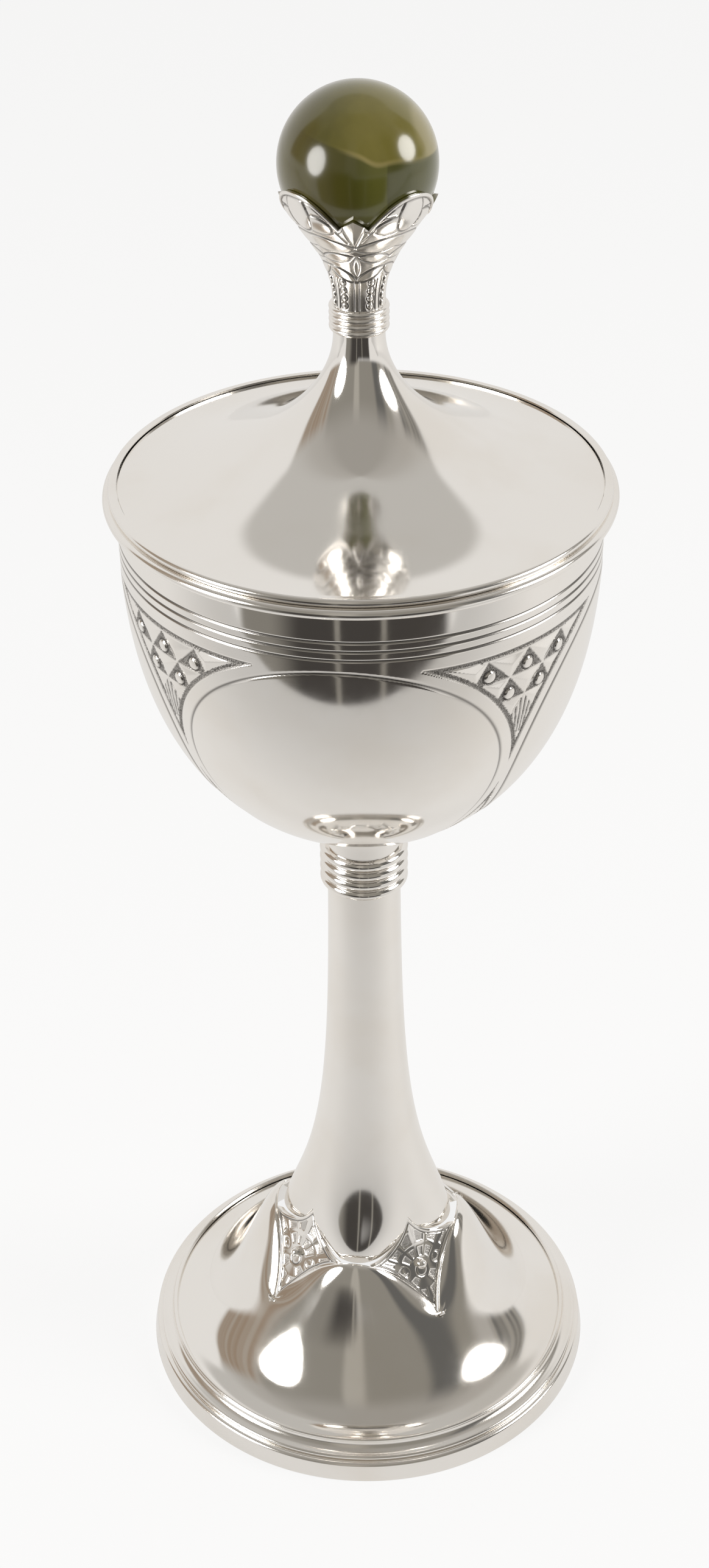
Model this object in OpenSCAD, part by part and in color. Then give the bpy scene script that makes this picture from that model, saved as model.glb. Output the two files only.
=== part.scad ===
// Covered presentation goblet: silver sheet and wire work with a stone ball finial.
// Millimetres, +Z up, origin at the centre of the foot on the table, one tongue towards -Y.

/* [Foot] */
// Outer radius of the foot on the table
foot_r = 67; // [60:0.5:75]
// Height of the plain outer band
band_h = 6; // [5:0.1:8]
// Wall of the outer band
band_t = 3; // [2.8:0.1:3.6]
// How far the band leans in at its top
band_lean = 0.8; // [0:0.1:1.2]
// Rounding of the band's upper edge
band_round = 1.2; // [0.5:0.1:1.4]
// Step from the band's rounded edge in to the moulding
moulding_step = 0.4; // [0.1:0.1:0.5]
// Height of the moulding's lower bead
bead_h = 1.6; // [1.2:0.1:1.8]
// Width of the moulding's hollow
hollow_w = 2.9; // [2:0.1:3.6]
// Height of the moulding's hollow
hollow_h = 2.6; // [1.8:0.1:3.2]
// Radius of the moulding's upper bead
lip_r = 0.6; // [0.5:0.05:0.9]
// Width of the ledge that carries the dome
ledge_w = 1.5; // [1:0.1:2.5]
// Height of the ledge that carries the dome
ledge_h = 2.2; // [1.4:0.1:2.8]
// Thickness of the dome's sheet
dome_t = 1.1; // [0.8:0.1:1.5]
// Length of the flat flare under a tongue
crest_flare = 18; // [14:0.5:21]
// Length of the flat flare under a panel
corner_flare = 11; // [8:0.5:13]
// How far the shoulder runs out level under a tongue
shoulder_run = 6; // [4:0.25:8]
// How far the shoulder falls along that run
shoulder_fall = 3.2; // [2:0.2:5]
// How far the crease runs out below a panel
crease_run = 6.5; // [5:0.25:8]
// How far the crease falls along that run
crease_fall = 8; // [6:0.25:10]

/* [Panels] */
// Radius of a panel's lowest point
corner_r = 35.85; // [33.5:0.05:38]
// Height of a panel's lowest point
corner_z = 30.1; // [28:0.1:33]
// Thickness of a panel
panel_t = 0.9; // [0.7:0.05:1.2]
// Hollowing of a panel along its middle
panel_sag = 1; // [0:0.1:1.5]
// Share of the way out to a tongue at which a panel's points stop
panel_reach = 0.6; // [0.4:0.05:0.7]
// Radius of a panel's bead
stud_r = 1.6; // [1:0.1:2]

/* [Stem] */
// Height of the tongues' ends over the table
tongue_z = 48.2; // [45:0.2:53]
// Rise from a tongue's end to the notch between two tongues
tongue_rise = 9.8; // [7:0.1:12]
// Height of the dome's upper edge over the tongues' ends
shoulder_lap = 1.5; // [1.4:0.1:2]
// Gap between the dome's upper edge and the tongues
shoulder_gap = 0.5; // [0.4:0.1:0.8]
// Radius that the trumpet tends to at its top
stem_neck_r = 9.9; // [9.2:0.1:12]
// Flare of the trumpet at the tongues' ends
stem_flare = 17.8; // [15:0.2:19]
// Height in which the flare falls to about a third
flare_len = 28.4; // [24:0.2:32]
// Depth that the tongues' ends are rounded in at their sides
tip_depth = 7.5; // [5:0.25:9]
// Height in which that depth falls to about a third
tip_len = 4.4; // [3:0.2:6]
// Depth of the valley at the notch between two tongues
valley_depth = 0.75; // [0:0.05:1.5]
// Height in which the valley falls to about a third
valley_len = 12; // [6:0.5:18]
// Wall of the stem
stem_wall = 1; // [0.8:0.1:1.4]
// Height of the stem's top over the table
stem_top = 172; // [150:1:190]

/* [Knop] */
// Number of reeds on the knop
knop_reeds = 4; // [3:1:6]
// Height of one reed
reed_h = 3.2; // [2.6:0.1:4]
// Radius over the reeds
knop_r = 12.2; // [11.8:0.1:14]
// Height of the hollow neck over the reeds
knop_neck_h = 11.6; // [9:0.2:16]
// How far the neck stands in from the seat at its waist
knop_waist = 2; // [1:0.1:2.4]
// Radius of the bowl's flat seat
seat_r = 13; // [12.5:0.1:15]
// Length of the spigot that centres the knop in the stem
spigot_h = 4; // [2:0.5:8]

/* [Bowl] */
// Outer radius of the bowl at its mouth
bowl_r = 61.7; // [56:0.2:66]
// Height of the bowl's curve
bowl_curve_h = 95; // [85:1:105]
// Straight wall over the curve
bowl_lip_h = 5; // [4:0.2:8]
// Fullness of the curve towards the seat
bowl_base_power = 2.6; // [2.2:0.05:2.9]
// Fullness of the curve towards the mouth
bowl_side_power = 2.08; // [1.9:0.02:2.4]
// Wall of the bowl
bowl_wall = 1.1; // [0.9:0.1:1.5]
// Outer radius of the mouth wire over the wall
rim_w = 3.3; // [2.6:0.1:4]
// Height of the mouth wire
rim_h = 2.7; // [2:0.1:3.6]
// Number of turned lines under the mouth
line_count = 3; // [1:1:4]
// Distance between two turned lines
line_pitch = 2.5; // [1.8:0.1:4]
// Depth of the first turned line under the mouth
line_first = 10.4; // [8:0.2:14]
// Radius of a turned line
line_r = 0.45; // [0.2:0.05:0.6]

/* [Lid] */
// How far the lid's edge stands in from the mouth wire
lid_inset = 1.4; // [0.5:0.1:1.8]
// Width of the wire round the lid
lid_edge_w = 2.3; // [1.8:0.1:2.6]
// Height of the wire round the lid
lid_edge_h = 2.2; // [1.8:0.1:2.6]
// How far the lid's sheet lies under the wire's top
lid_drop = 0.7; // [0.4:0.1:0.8]
// Thickness of the lid's sheet
lid_wall = 1; // [0.8:0.1:1.2]
// Rise of the lid from its edge to its neck
lid_rise = 39.5; // [30:0.5:50]
// How much of that rise is an even slope from edge to neck
lid_cone = 7; // [0:0.5:12]
// Radius of the lid's neck
lid_neck_r = 6.4; // [6:0.1:7]
// Thickness of the plate that closes the neck
lid_cap_t = 1.2; // [0.8:0.1:2]
// Depth of the bezel under the mouth
bezel_h = 7.5; // [4:0.5:12]
// Wall of the bezel
bezel_t = 1; // [0.8:0.1:1.5]

/* [Finial] */
// Number of reeds on the finial's collar
collar_reeds = 4; // [3:1:5]
// Height of one reed of the collar
collar_reed_h = 1.65; // [1.3:0.05:2]
// Radius over the collar's reeds
collar_r = 7.4; // [7:0.1:8.5]
// Radius of the calyx at its foot
calyx_r = 6.5; // [6:0.1:7]
// Thickness of the petals over the ball
calyx_t = 0.7; // [0.5:0.05:1]
// Angle below the ball's middle at which the petals begin to follow it
calyx_grip = 34; // [32:1:42]
// How far the calyx is drawn in at its neck
calyx_waist = 0.5; // [0:0.1:1]
// Straight pull of the calyx at its neck
neck_pull = 9.7; // [8:0.1:12]
// Straight pull of the calyx towards the ball
cup_pull = 9; // [7:0.1:10]
// Depth of the petals' tips under the ball's middle
petal_tip = 2.2; // [1.6:0.1:3]
// Fall of a petal's edge from its tip
petal_fall = 14.6; // [12:0.2:16]
// Depth of the small leaves' tips under the petals' tips
leaf_tip = 5; // [4:0.1:6]
// Fall of a leaf's edge out to the petal's middle
leaf_fall = 10; // [8:0.5:12]
// How far the loose lid is turned in the mouth at rest
lid_turn = 4.3; // [0:0.1:90]
// Radius of the ball
ball_r = 19.05; // [17:0.05:21]
// Height of the ball's middle over the calyx's foot
ball_rise = 34.7; // [33:0.1:40]
// Depth of the peg's hole in the ball
ball_hole = 13; // [8:0.5:18]

/* [Fixings] */
// Radius of the rod in the stem
tie_rod_r = 2.5; // [2:0.1:3]
// Radius of the threaded boss under the bowl
socket_r = 6.4; // [5.5:0.1:6.6]
// Height of the threaded boss
socket_h = 11; // [8:0.5:14]
// Metal left over the boss's blind hole
socket_end = 2.4; // [1.5:0.1:4]
// Height of the wedged disc in the stem over the table
plate_z = 66; // [62:0.5:75]
// Thickness of the wedged disc
plate_t = 2.5; // [2:0.1:4]
// Radius of the rod's washer
tie_washer_r = 8; // [6.5:0.1:10]
// Width across flats of the rod's nut
tie_nut_w = 10; // [8:0.5:13]
// Height of the rod's nut
tie_nut_h = 5; // [4:0.5:7]
// Radius of the ball's peg
peg_r = 1.9; // [1.5:0.1:2.2]
// Width across flats of the peg's nut
peg_nut_w = 7; // [6:0.5:7.5]
// Height of the peg's nut
peg_nut_h = 3.2; // [2.4:0.1:4]
// Thickness of both washers
washer_t = 1; // [0.6:0.1:1.6]
// Length of rod and peg that shows past their nuts
thread_end = 2; // [1:0.5:4]

/* [Fits] */
// Gap at a soldered joint
joint_gap = 0.3; // [0.2:0.05:0.4]
// Gap between ball and calyx
ball_gap = 0.25; // [0.15:0.05:0.4]
// Gap between a rod and its threaded hole
thread_gap = 0.15; // [0.1:0.05:0.25]
// Gap between a rod and the holes that it passes
pass_gap = 0.4; // [0.25:0.05:0.6]
// Gap between the lid's bezel and the bowl
bezel_gap = 0.4; // [0.3:0.05:0.8]

/* [Hidden] */
$fn = 96;
panel_count = 4;

silver = [0.84, 0.83, 0.81];
green_onyx = [0.38, 0.37, 0.13];
brass = [0.72, 0.58, 0.32];

// Azimuth steps of the lobed sheets, and points along their curves
azimuths = 64;
arc_steps = 10;
curve_steps = 24;
sheet_rows = 12;
panel_cols = 12;
panel_rows = 6;
// Shape of the tongue's edge, of the shoulder's arch and of the petal's edge
edge_power = 3.4;
arch_bulge = 5.1;
arch_power = 1.9;
arch_round = 0.82;
petal_power = 2.2;
// Crowding of the stem's rows towards the tongues
row_crowding = 1.6;
// Place of a panel's bead from its lowest point up
stud_place = 0.45;

// Heights, stacked from the table up
dome_edge_z = band_h + ledge_h + dome_t;
reeds_top = stem_top + knop_reeds * reed_h;
bowl_seat_z = reeds_top + knop_neck_h;
seat_depth = bowl_curve_h
    * (1 - pow(1 - pow(seat_r / bowl_r, bowl_side_power), 1 / bowl_base_power));
bowl_base_z = bowl_seat_z - seat_depth;
mouth_z = bowl_base_z + bowl_curve_h + bowl_lip_h;
lid_edge_z = mouth_z + lid_edge_h - lid_drop;
lid_neck_z = lid_edge_z + lid_rise;
collar_z = lid_neck_z + lid_cap_t;
calyx_z = collar_z + collar_reeds * collar_reed_h;
ball_z = calyx_z + ball_rise;
tie_end = plate_z - washer_t - tie_nut_h - thread_end;
peg_end = lid_neck_z - washer_t - peg_nut_h - thread_end;

// Radii that follow from their neighbours
band_top_r = foot_r - band_lean;
moulding_r = band_top_r - band_round - moulding_step;
moulding_in = moulding_r - bead_h / 2 - hollow_w - 2 * lip_r;
dome_edge_r = moulding_in - joint_gap;
rim_r = bowl_r + rim_w;
lid_r = rim_r - lid_inset;
lid_sheet_r = lid_r - lid_edge_w - joint_gap;
bowl_in = bowl_r - bowl_wall;
tie_bore = tie_rod_r + pass_gap;
peg_bore = peg_r + pass_gap;
cup_in = ball_r + ball_gap;
cup_out = cup_in + calyx_t;

function mix(a, b, t) = a + (b - a) * t;

// Point of a cubic curve through a and d, pulled towards b and c
function cubic(a, b, c, d, t) =
    a * pow(1 - t, 3) + 3 * b * t * pow(1 - t, 2) + 3 * c * t * t * (1 - t) + d * pow(t, 3);

// Left-hand normal of that curve
function cubic_normal(a, b, c, d, t) =
    let (v = (b - a) * pow(1 - t, 2) + 2 * (c - b) * t * (1 - t) + (d - c) * t * t)
    [v[1], -v[0]] / norm(v);

// Points of an arc, without the first one where it goes on from another outline
function arc(centre, r, from, to, first = 0) =
    [for (i = [first:arc_steps])
        let (a = mix(from, to, i / arc_steps)) centre + r * [cos(a), sin(a)]];

// Share of the way from a tongue's middle, 0, to a panel's middle, 1
function lobe(azimuth) = abs((azimuth + 45) % 90 - 45) / 45;

// Trumpet of the stem: it widens downwards, with rounded tongues and valleys between them
function stem_r(z, q) =
    stem_neck_r + stem_flare * exp(-(z - tongue_z) / flare_len)
    - tip_depth * exp(-(z - tongue_z) / tip_len) * pow(sin(90 * q), 2)
    - valley_depth * exp(-(z - tongue_z - tongue_rise) / valley_len) * pow(sin(90 * q), 4);

// Edge of a tongue, and the arch of the shoulder under it, as [radius, height]
function tongue_edge(q) =
    let (z = tongue_z + tongue_rise * pow(q, edge_power)) [stem_r(z, q), z];
function arch_fall(q) = 1 - pow(1 - pow(q, arch_power), arch_round);
function shoulder_arch(q) =
    let (top = [stem_r(tongue_z, 0) + shoulder_gap, tongue_z + shoulder_lap])
    [mix(top[0], corner_r, pow(q, arch_bulge)), mix(top[1], corner_z, arch_fall(q))];

// The four points that the dome's curve follows, from its edge up to the arch
function dome_curve(q) =
    let (w = arch_fall(q), top = shoulder_arch(q))
    [
        [dome_edge_r, dome_edge_z],
        [dome_edge_r - mix(crest_flare, corner_flare, w), dome_edge_z],
        top + [mix(shoulder_run, crease_run, w), -mix(shoulder_fall, crease_fall, w)],
        top
    ];

// Point of a panel: s runs from the arch, 0, up to the tongue's edge, 1
function panel_point(q, s) =
    let (
        low = shoulder_arch(q),
        high = tongue_edge(q),
        rise = high - low,
        tall = norm(shoulder_arch(1) - tongue_edge(1)),
        inset = joint_gap / norm(rise),
        t = mix(inset, 1 - inset, s),
        sag = panel_sag * 4 * t * (1 - t) * norm(rise) / tall
    )
    low + rise * t - sag * [rise[1], -rise[0]] / norm(rise);

// Outer curve of the bowl, and its hollow, by height over the lowest point
function bowl_out(h) =
    bowl_r * pow(1 - pow((bowl_curve_h - h) / bowl_curve_h, bowl_base_power), 1 / bowl_side_power);
bowl_floor = seat_depth + bowl_wall;
function bowl_hollow(h) =
    bowl_in * pow(
        1 - pow((bowl_curve_h - h) / (bowl_curve_h - bowl_floor), bowl_base_power),
        1 / bowl_side_power
    );

// Edge of the calyx: broad petals with a small pointed leaf in each valley
function calyx_top(q) =
    ball_z - petal_tip
    - min(petal_fall * pow(1 - q, petal_power), leaf_tip + leaf_fall * q);

// A sheet that runs all the way round, from one closed [radius, height] loop per azimuth
module lobed_ring(loops) {
    n = len(loops);
    m = len(loops[0]);
    points = [
        for (j = [0:n - 1], p = loops[j])
            [p[0] * cos(360 * j / n), p[0] * sin(360 * j / n), p[1]]
    ];
    faces = [
        for (j = [0:n - 1], k = [0:m - 1])
            let (next = (j + 1) % n, up = (k + 1) % m)
            each [
                [j * m + k, j * m + up, next * m + up],
                [j * m + k, next * m + up, next * m + k]
            ]
    ];
    polyhedron(points, faces);
}

// A curved plate between two grids of points, the front one seen from outside
module curved_plate(front, back) {
    n = len(front);
    m = len(front[0]);
    side = n * m;
    points = concat([for (row = front) each row], [for (row = back) each row]);
    skins = [
        for (i = [0:n - 2], k = [0:m - 2])
            let (a = i * m + k, b = a + 1, c = a + m + 1, d = a + m)
            each [
                [a, b, c], [a, c, d],
                [side + a, side + c, side + b], [side + a, side + d, side + c]
            ]
    ];
    border = concat(
        [for (k = [0:m - 2]) k],
        [for (i = [0:n - 2]) i * m + m - 1],
        [for (k = [m - 1:-1:1]) (n - 1) * m + k],
        [for (i = [n - 1:-1:1]) i * m]
    );
    rims = [
        for (i = [0:len(border) - 1])
            let (a = border[i], b = border[(i + 1) % len(border)])
            each [[a, side + a, side + b], [a, side + b, b]]
    ];
    polyhedron(points, concat(skins, rims));
}

// A stack of half-round reeds, as an outline that rises from its foot
function reeds(count, h, r, z) =
    [for (i = [0:count - 1])
        each arc([r - h / 2, z + (i + 0.5) * h], h / 2, -90, 90, min(i, 1))];

module hex_nut(width, height, bore) {
    difference() {
        cylinder(d = width / cos(30), h = height, $fn = 6);
        translate([0, 0, -1]) cylinder(r = bore, h = height + 2);
    }
}

module washer(r, bore) {
    difference() {
        cylinder(r = r, h = washer_t);
        translate([0, 0, -1]) cylinder(r = bore, h = washer_t + 2);
    }
}

module foot_band() {
    color(silver) rotate_extrude() polygon(concat(
        [[foot_r - band_t, 0], [foot_r, 0]],
        arc([band_top_r - band_round, band_h - band_round], band_round, 0, 90),
        [[band_top_r - band_t, band_h]]
    ));
}

module foot_moulding() {
    bead = bead_h / 2;
    hollow = [moulding_r - bead, band_h + bead_h + hollow_h];
    lip = [hollow[0] - hollow_w - lip_r, hollow[1]];
    color(silver) rotate_extrude() polygon(concat(
        [[moulding_in - ledge_w, band_h]],
        arc([moulding_r - bead, band_h + bead], bead, -90, 90),
        [for (p = arc([0, 0], 1, -90, -180, 1)) hollow + [hollow_w * p[0], hollow_h * p[1]]],
        arc(lip, lip_r, 0, 180, 1),
        [[moulding_in, band_h + ledge_h], [moulding_in - ledge_w, band_h + ledge_h]]
    ));
}

module foot_dome() {
    loops = [
        for (j = [0:azimuths - 1])
            let (c = dome_curve(lobe(360 * j / azimuths)))
            concat(
                [for (i = [0:sheet_rows]) cubic(c[0], c[1], c[2], c[3], i / sheet_rows)],
                [for (i = [sheet_rows:-1:0])
                    let (t = i / sheet_rows)
                    cubic(c[0], c[1], c[2], c[3], t) - dome_t * cubic_normal(c[0], c[1], c[2], c[3], t)]
            )
    ];
    color(silver) lobed_ring(loops);
}

module foot_panel(i) {
    tilt = tongue_edge(1) - shoulder_arch(1);
    inward = -panel_t * [tilt[1], -tilt[0]] / norm(tilt);
    function spot(u, s, depth) =
        let (
            turn = panel_reach * 45 * u,
            p = panel_point(1 - panel_reach * abs(u), s) + depth * inward,
            a = 90 * i - 45 + turn
        )
        [p[0] * cos(a), p[0] * sin(a), p[1]];
    function grid(depth) =
        [for (col = [0:panel_cols])
            [for (row = [0:panel_rows]) spot(2 * col / panel_cols - 1, row / panel_rows, depth)]];
    color(silver) curved_plate(grid(0), grid(1));
}

module panel_beads() {
    tilt = tongue_edge(1) - shoulder_arch(1);
    seat = panel_point(1, stud_place) + joint_gap * [tilt[1], -tilt[0]] / norm(tilt);
    color(silver) for (i = [1:panel_count])
        rotate([0, 0, 90 * i - 45]) translate([seat[0], 0, seat[1]])
            rotate([0, 90 - atan2(-tilt[0], tilt[1]), 0])
                rotate_extrude() intersection() {
                    circle(r = stud_r);
                    square(2 * stud_r);
                }
}

module stem() {
    loops = [
        for (j = [0:azimuths - 1])
            let (
                q = lobe(360 * j / azimuths),
                low = tongue_edge(q)[1],
                heights = [for (i = [0:sheet_rows])
                    mix(low, stem_top, pow(i / sheet_rows, row_crowding))]
            )
            concat(
                [for (z = heights) [stem_r(z, q), z]],
                [for (i = [sheet_rows:-1:0]) [stem_r(heights[i], q) - stem_wall, heights[i]]]
            )
    ];
    color(silver) lobed_ring(loops);
}

module tie_plate() {
    function wedge_r(z) = stem_r(z, 1) - stem_wall - joint_gap;
    color(brass) difference() {
        translate([0, 0, plate_z])
            cylinder(r1 = wedge_r(plate_z), r2 = wedge_r(plate_z + plate_t), h = plate_t);
        translate([0, 0, plate_z - 1]) cylinder(r = tie_bore, h = plate_t + 2);
    }
}

module tie_washer() {
    color(brass) translate([0, 0, plate_z - washer_t]) washer(tie_washer_r, tie_bore);
}

module tie_nut() {
    color(brass) translate([0, 0, plate_z - washer_t - tie_nut_h])
        hex_nut(tie_nut_w, tie_nut_h, tie_rod_r + thread_gap);
}

module tie_rod() {
    top = bowl_seat_z - socket_end - thread_gap;
    color(brass) translate([0, 0, tie_end]) cylinder(r = tie_rod_r, h = top - tie_end);
}

module knop() {
    bore = socket_r + joint_gap;
    spigot_r = stem_r(stem_top, 1) - stem_wall - joint_gap;
    foot = [knop_r - reed_h / 2, reeds_top];
    seat = [seat_r, bowl_seat_z];
    waist = [seat_r - knop_waist, mix(reeds_top, bowl_seat_z, 0.5)];
    color(silver) rotate_extrude() polygon(concat(
        [[bore, stem_top - spigot_h], [spigot_r, stem_top - spigot_h], [spigot_r, stem_top]],
        reeds(knop_reeds, reed_h, knop_r, stem_top),
        [for (i = [1:arc_steps]) cubic(foot, waist, waist, seat, i / arc_steps)],
        [[bore, bowl_seat_z]]
    ));
}

module bowl_socket() {
    color(silver) difference() {
        translate([0, 0, bowl_seat_z - socket_h]) cylinder(r = socket_r, h = socket_h);
        translate([0, 0, bowl_seat_z - socket_h - 1])
            cylinder(r = tie_rod_r + thread_gap, h = socket_h - socket_end + 1);
    }
}

module bowl() {
    color(silver) difference() {
        rotate_extrude() translate([0, bowl_base_z]) polygon(concat(
            [[0, seat_depth]],
            [for (i = [0:curve_steps])
                let (h = mix(seat_depth, bowl_curve_h, pow(i / curve_steps, 2))) [bowl_out(h), h]],
            [[bowl_r, bowl_curve_h + bowl_lip_h], [bowl_in, bowl_curve_h + bowl_lip_h]],
            [for (i = [curve_steps:-1:0])
                let (h = mix(bowl_floor, bowl_curve_h, pow(i / curve_steps, 2))) [bowl_hollow(h), h]]
        ));
        for (i = [0:line_count - 1])
            let (z = mouth_z - line_first - i * line_pitch)
                rotate_extrude() translate([bowl_out(z - bowl_base_z), z]) circle(r = line_r, $fn = 24);
    }
}

module bowl_rim() {
    round_r = rim_h / 2;
    color(silver) rotate_extrude() polygon(concat(
        [[bowl_r + joint_gap, mouth_z - rim_h]],
        arc([rim_r - round_r, mouth_z - round_r], round_r, -90, 90),
        [[bowl_r + joint_gap, mouth_z]]
    ));
}

// The lid's curve is a quarter of an ellipse on top of an even slope, upright at the neck
module lid() {
    function curve(wall) =
        [for (i = [0:curve_steps])
            let (a = 90 * i / curve_steps)
            [
                lid_sheet_r - (lid_sheet_r - lid_neck_r + wall) * cos(a),
                lid_neck_z - (lid_rise - lid_cone + wall) * sin(a) - lid_cone * (1 - cos(a))
            ]];
    inner = curve(lid_wall);
    color(silver) rotate_extrude() polygon(concat(
        [[peg_bore, collar_z], [lid_neck_r, collar_z]],
        curve(0),
        [for (i = [curve_steps:-1:0]) inner[i]],
        [[peg_bore, lid_neck_z]]
    ));
}

module lid_edge() {
    round_r = lid_edge_h / 2;
    color(silver) rotate_extrude() polygon(concat(
        [[lid_r - lid_edge_w, mouth_z]],
        arc([lid_r - round_r, mouth_z + round_r], round_r, -90, 90),
        [[lid_r - lid_edge_w, mouth_z + lid_edge_h]]
    ));
}

module lid_bezel() {
    r = bowl_in - bezel_gap;
    top = lid_edge_z - lid_wall - joint_gap;
    color(silver) translate([0, 0, mouth_z - bezel_h]) difference() {
        cylinder(r = r, h = bezel_h + top - mouth_z);
        translate([0, 0, -1]) cylinder(r = r - bezel_t, h = bezel_h + top - mouth_z + 2);
    }
}

module finial_collar() {
    color(silver) rotate_extrude() polygon(concat(
        [[peg_bore, collar_z]],
        reeds(collar_reeds, collar_reed_h, collar_r, collar_z),
        [[peg_bore, calyx_z]]
    ));
}

module calyx() {
    grip = [cup_out * cos(calyx_grip), ball_z - cup_out * sin(calyx_grip)];
    pulled = grip - cup_pull * [sin(calyx_grip), cos(calyx_grip)];
    foot = [calyx_r, calyx_z];
    neck = [calyx_r - calyx_waist, calyx_z + neck_pull];
    half = sheet_rows / 2;
    loops = [
        for (j = [0:azimuths - 1])
            let (
                top = calyx_top(lobe(360 * j / azimuths)) - ball_z,
                rim_out = asin(top / cup_out),
                rim_in = asin(top / cup_in),
                drain = -acos(peg_bore / cup_in)
            )
            concat(
                [for (i = [0:half]) cubic(foot, neck, pulled, grip, i / half)],
                [for (i = [1:half]) let (a = mix(-calyx_grip, rim_out, i / half))
                    [cup_out * cos(a), ball_z + cup_out * sin(a)]],
                [for (i = [0:half]) let (a = mix(rim_in, drain, i / half))
                    [cup_in * cos(a), ball_z + cup_in * sin(a)]],
                [[peg_bore, calyx_z]]
            )
    ];
    color(silver) rotate([0, 0, lid_turn]) lobed_ring(loops);
}

module ball() {
    color(green_onyx) difference() {
        translate([0, 0, ball_z]) sphere(r = ball_r);
        translate([0, 0, ball_z - ball_r - 1]) cylinder(r = peg_r + thread_gap, h = ball_hole + 1);
    }
}

module finial_rod() {
    top = ball_z - ball_r + ball_hole - thread_gap;
    color(brass) translate([0, 0, peg_end]) cylinder(r = peg_r, h = top - peg_end);
}

module finial_washer() {
    color(brass) translate([0, 0, lid_neck_z - washer_t])
        washer(lid_neck_r - lid_wall - joint_gap, peg_bore);
}

module finial_nut() {
    color(brass) translate([0, 0, lid_neck_z - washer_t - peg_nut_h])
        hex_nut(peg_nut_w, peg_nut_h, peg_r + thread_gap);
}

foot_band();
foot_moulding();
foot_dome();
for (i = [1:panel_count]) foot_panel(i);
panel_beads();
stem();
tie_plate();
tie_washer();
tie_nut();
tie_rod();
knop();
bowl_socket();
bowl();
bowl_rim();
lid();
lid_edge();
lid_bezel();
finial_collar();
calyx();
ball();
finial_rod();
finial_washer();
finial_nut();
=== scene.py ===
"""Looks of a covered silver goblet: chased sheet, turned wires and a polished stone ball.

Sizes are in millimetres and repeat the construction's own values; meshes are in metres.
A profile is an array of (radius, height) rows, and a surface is a grid of points.
"""

import logging
import math
from collections.abc import Callable, Sequence
from dataclasses import dataclass, field
from enum import Enum

import bpy
import numpy as np
from mathutils import Matrix, Vector

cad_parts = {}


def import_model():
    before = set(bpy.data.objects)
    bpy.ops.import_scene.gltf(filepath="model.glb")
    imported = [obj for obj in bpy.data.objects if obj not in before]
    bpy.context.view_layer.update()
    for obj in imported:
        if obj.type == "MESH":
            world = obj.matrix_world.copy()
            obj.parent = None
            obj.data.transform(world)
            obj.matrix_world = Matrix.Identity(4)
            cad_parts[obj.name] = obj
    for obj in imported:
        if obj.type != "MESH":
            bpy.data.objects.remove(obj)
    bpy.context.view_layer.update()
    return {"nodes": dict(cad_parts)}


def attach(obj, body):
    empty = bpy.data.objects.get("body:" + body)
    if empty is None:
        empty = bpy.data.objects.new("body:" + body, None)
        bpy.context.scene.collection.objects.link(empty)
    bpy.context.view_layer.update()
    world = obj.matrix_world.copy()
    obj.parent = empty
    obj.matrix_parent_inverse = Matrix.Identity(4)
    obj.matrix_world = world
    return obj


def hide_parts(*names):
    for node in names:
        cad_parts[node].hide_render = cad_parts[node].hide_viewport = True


Array = np.ndarray
Colour = tuple[float, float, float]

MM = 0.001
PHOTO_SIZE = (1164, 2576)
QUARTERS = 4
# Degrees from the middle of a tongue to the middle of the panel beside it
EIGHTH = 45.0
WIRE_SATIN = 0.5
COLLAR_SATIN = 1.0
FINE_COLUMNS = 300
TINY = 1e-6
log = logging.getLogger("goblet")


class Body(Enum):
    """The two bodies of the frame that pieces ride on."""

    GOBLET = "goblet"
    LID = "lid"


class Slot(Enum):
    """The record's material slots."""

    SILVER = "polished_silver"
    ONYX = "green_onyx"
    BRASS = "brass"


def mix(a: Array | float, b: Array | float, t: Array | float) -> Array:
    """Value the share t of the way from a to b."""
    return a + (b - a) * t


def ease(low: float, high: float, x: Array) -> Array:
    """Smooth step of x from 0 at low to 1 at high."""
    t = np.clip((x - low) / (high - low), 0.0, 1.0)
    return t * t * (3.0 - 2.0 * t)


def arc(centre: Sequence[float], radius: float | Sequence[float], start: float, end: float,
        steps: int = 16) -> Array:
    """Points of a circle's or an ellipse's arc: centre + radius (cos a, sin a).

    Args:
        centre: radius and height of the arc's middle.
        radius: one radius, or the two half axes.
        start: first angle in degrees.
        end: last angle in degrees.
        steps: number of steps.

    Returns:
        The arc's profile.
    """
    a = np.radians(np.linspace(start, end, steps + 1))
    return np.asarray(centre) + np.asarray(radius) * np.stack([np.cos(a), np.sin(a)], -1)


def cubic(points: Sequence[Array], t: Array) -> Array:
    """Cubic curve with the weights (1-t)^3, 3t(1-t)^2, 3t^2(1-t) and t^3.

    Args:
        points: the four control points, single or in grids.
        t: shares along the curve, which become the leading axes.

    Returns:
        The curve's points.
    """
    a, b, c, d = (np.asarray(p, float) for p in points)
    t = np.asarray(t, float)[..., None]
    return a * (1 - t) ** 3 + 3 * b * t * (1 - t) ** 2 + 3 * c * t * t * (1 - t) + d * t ** 3


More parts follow.
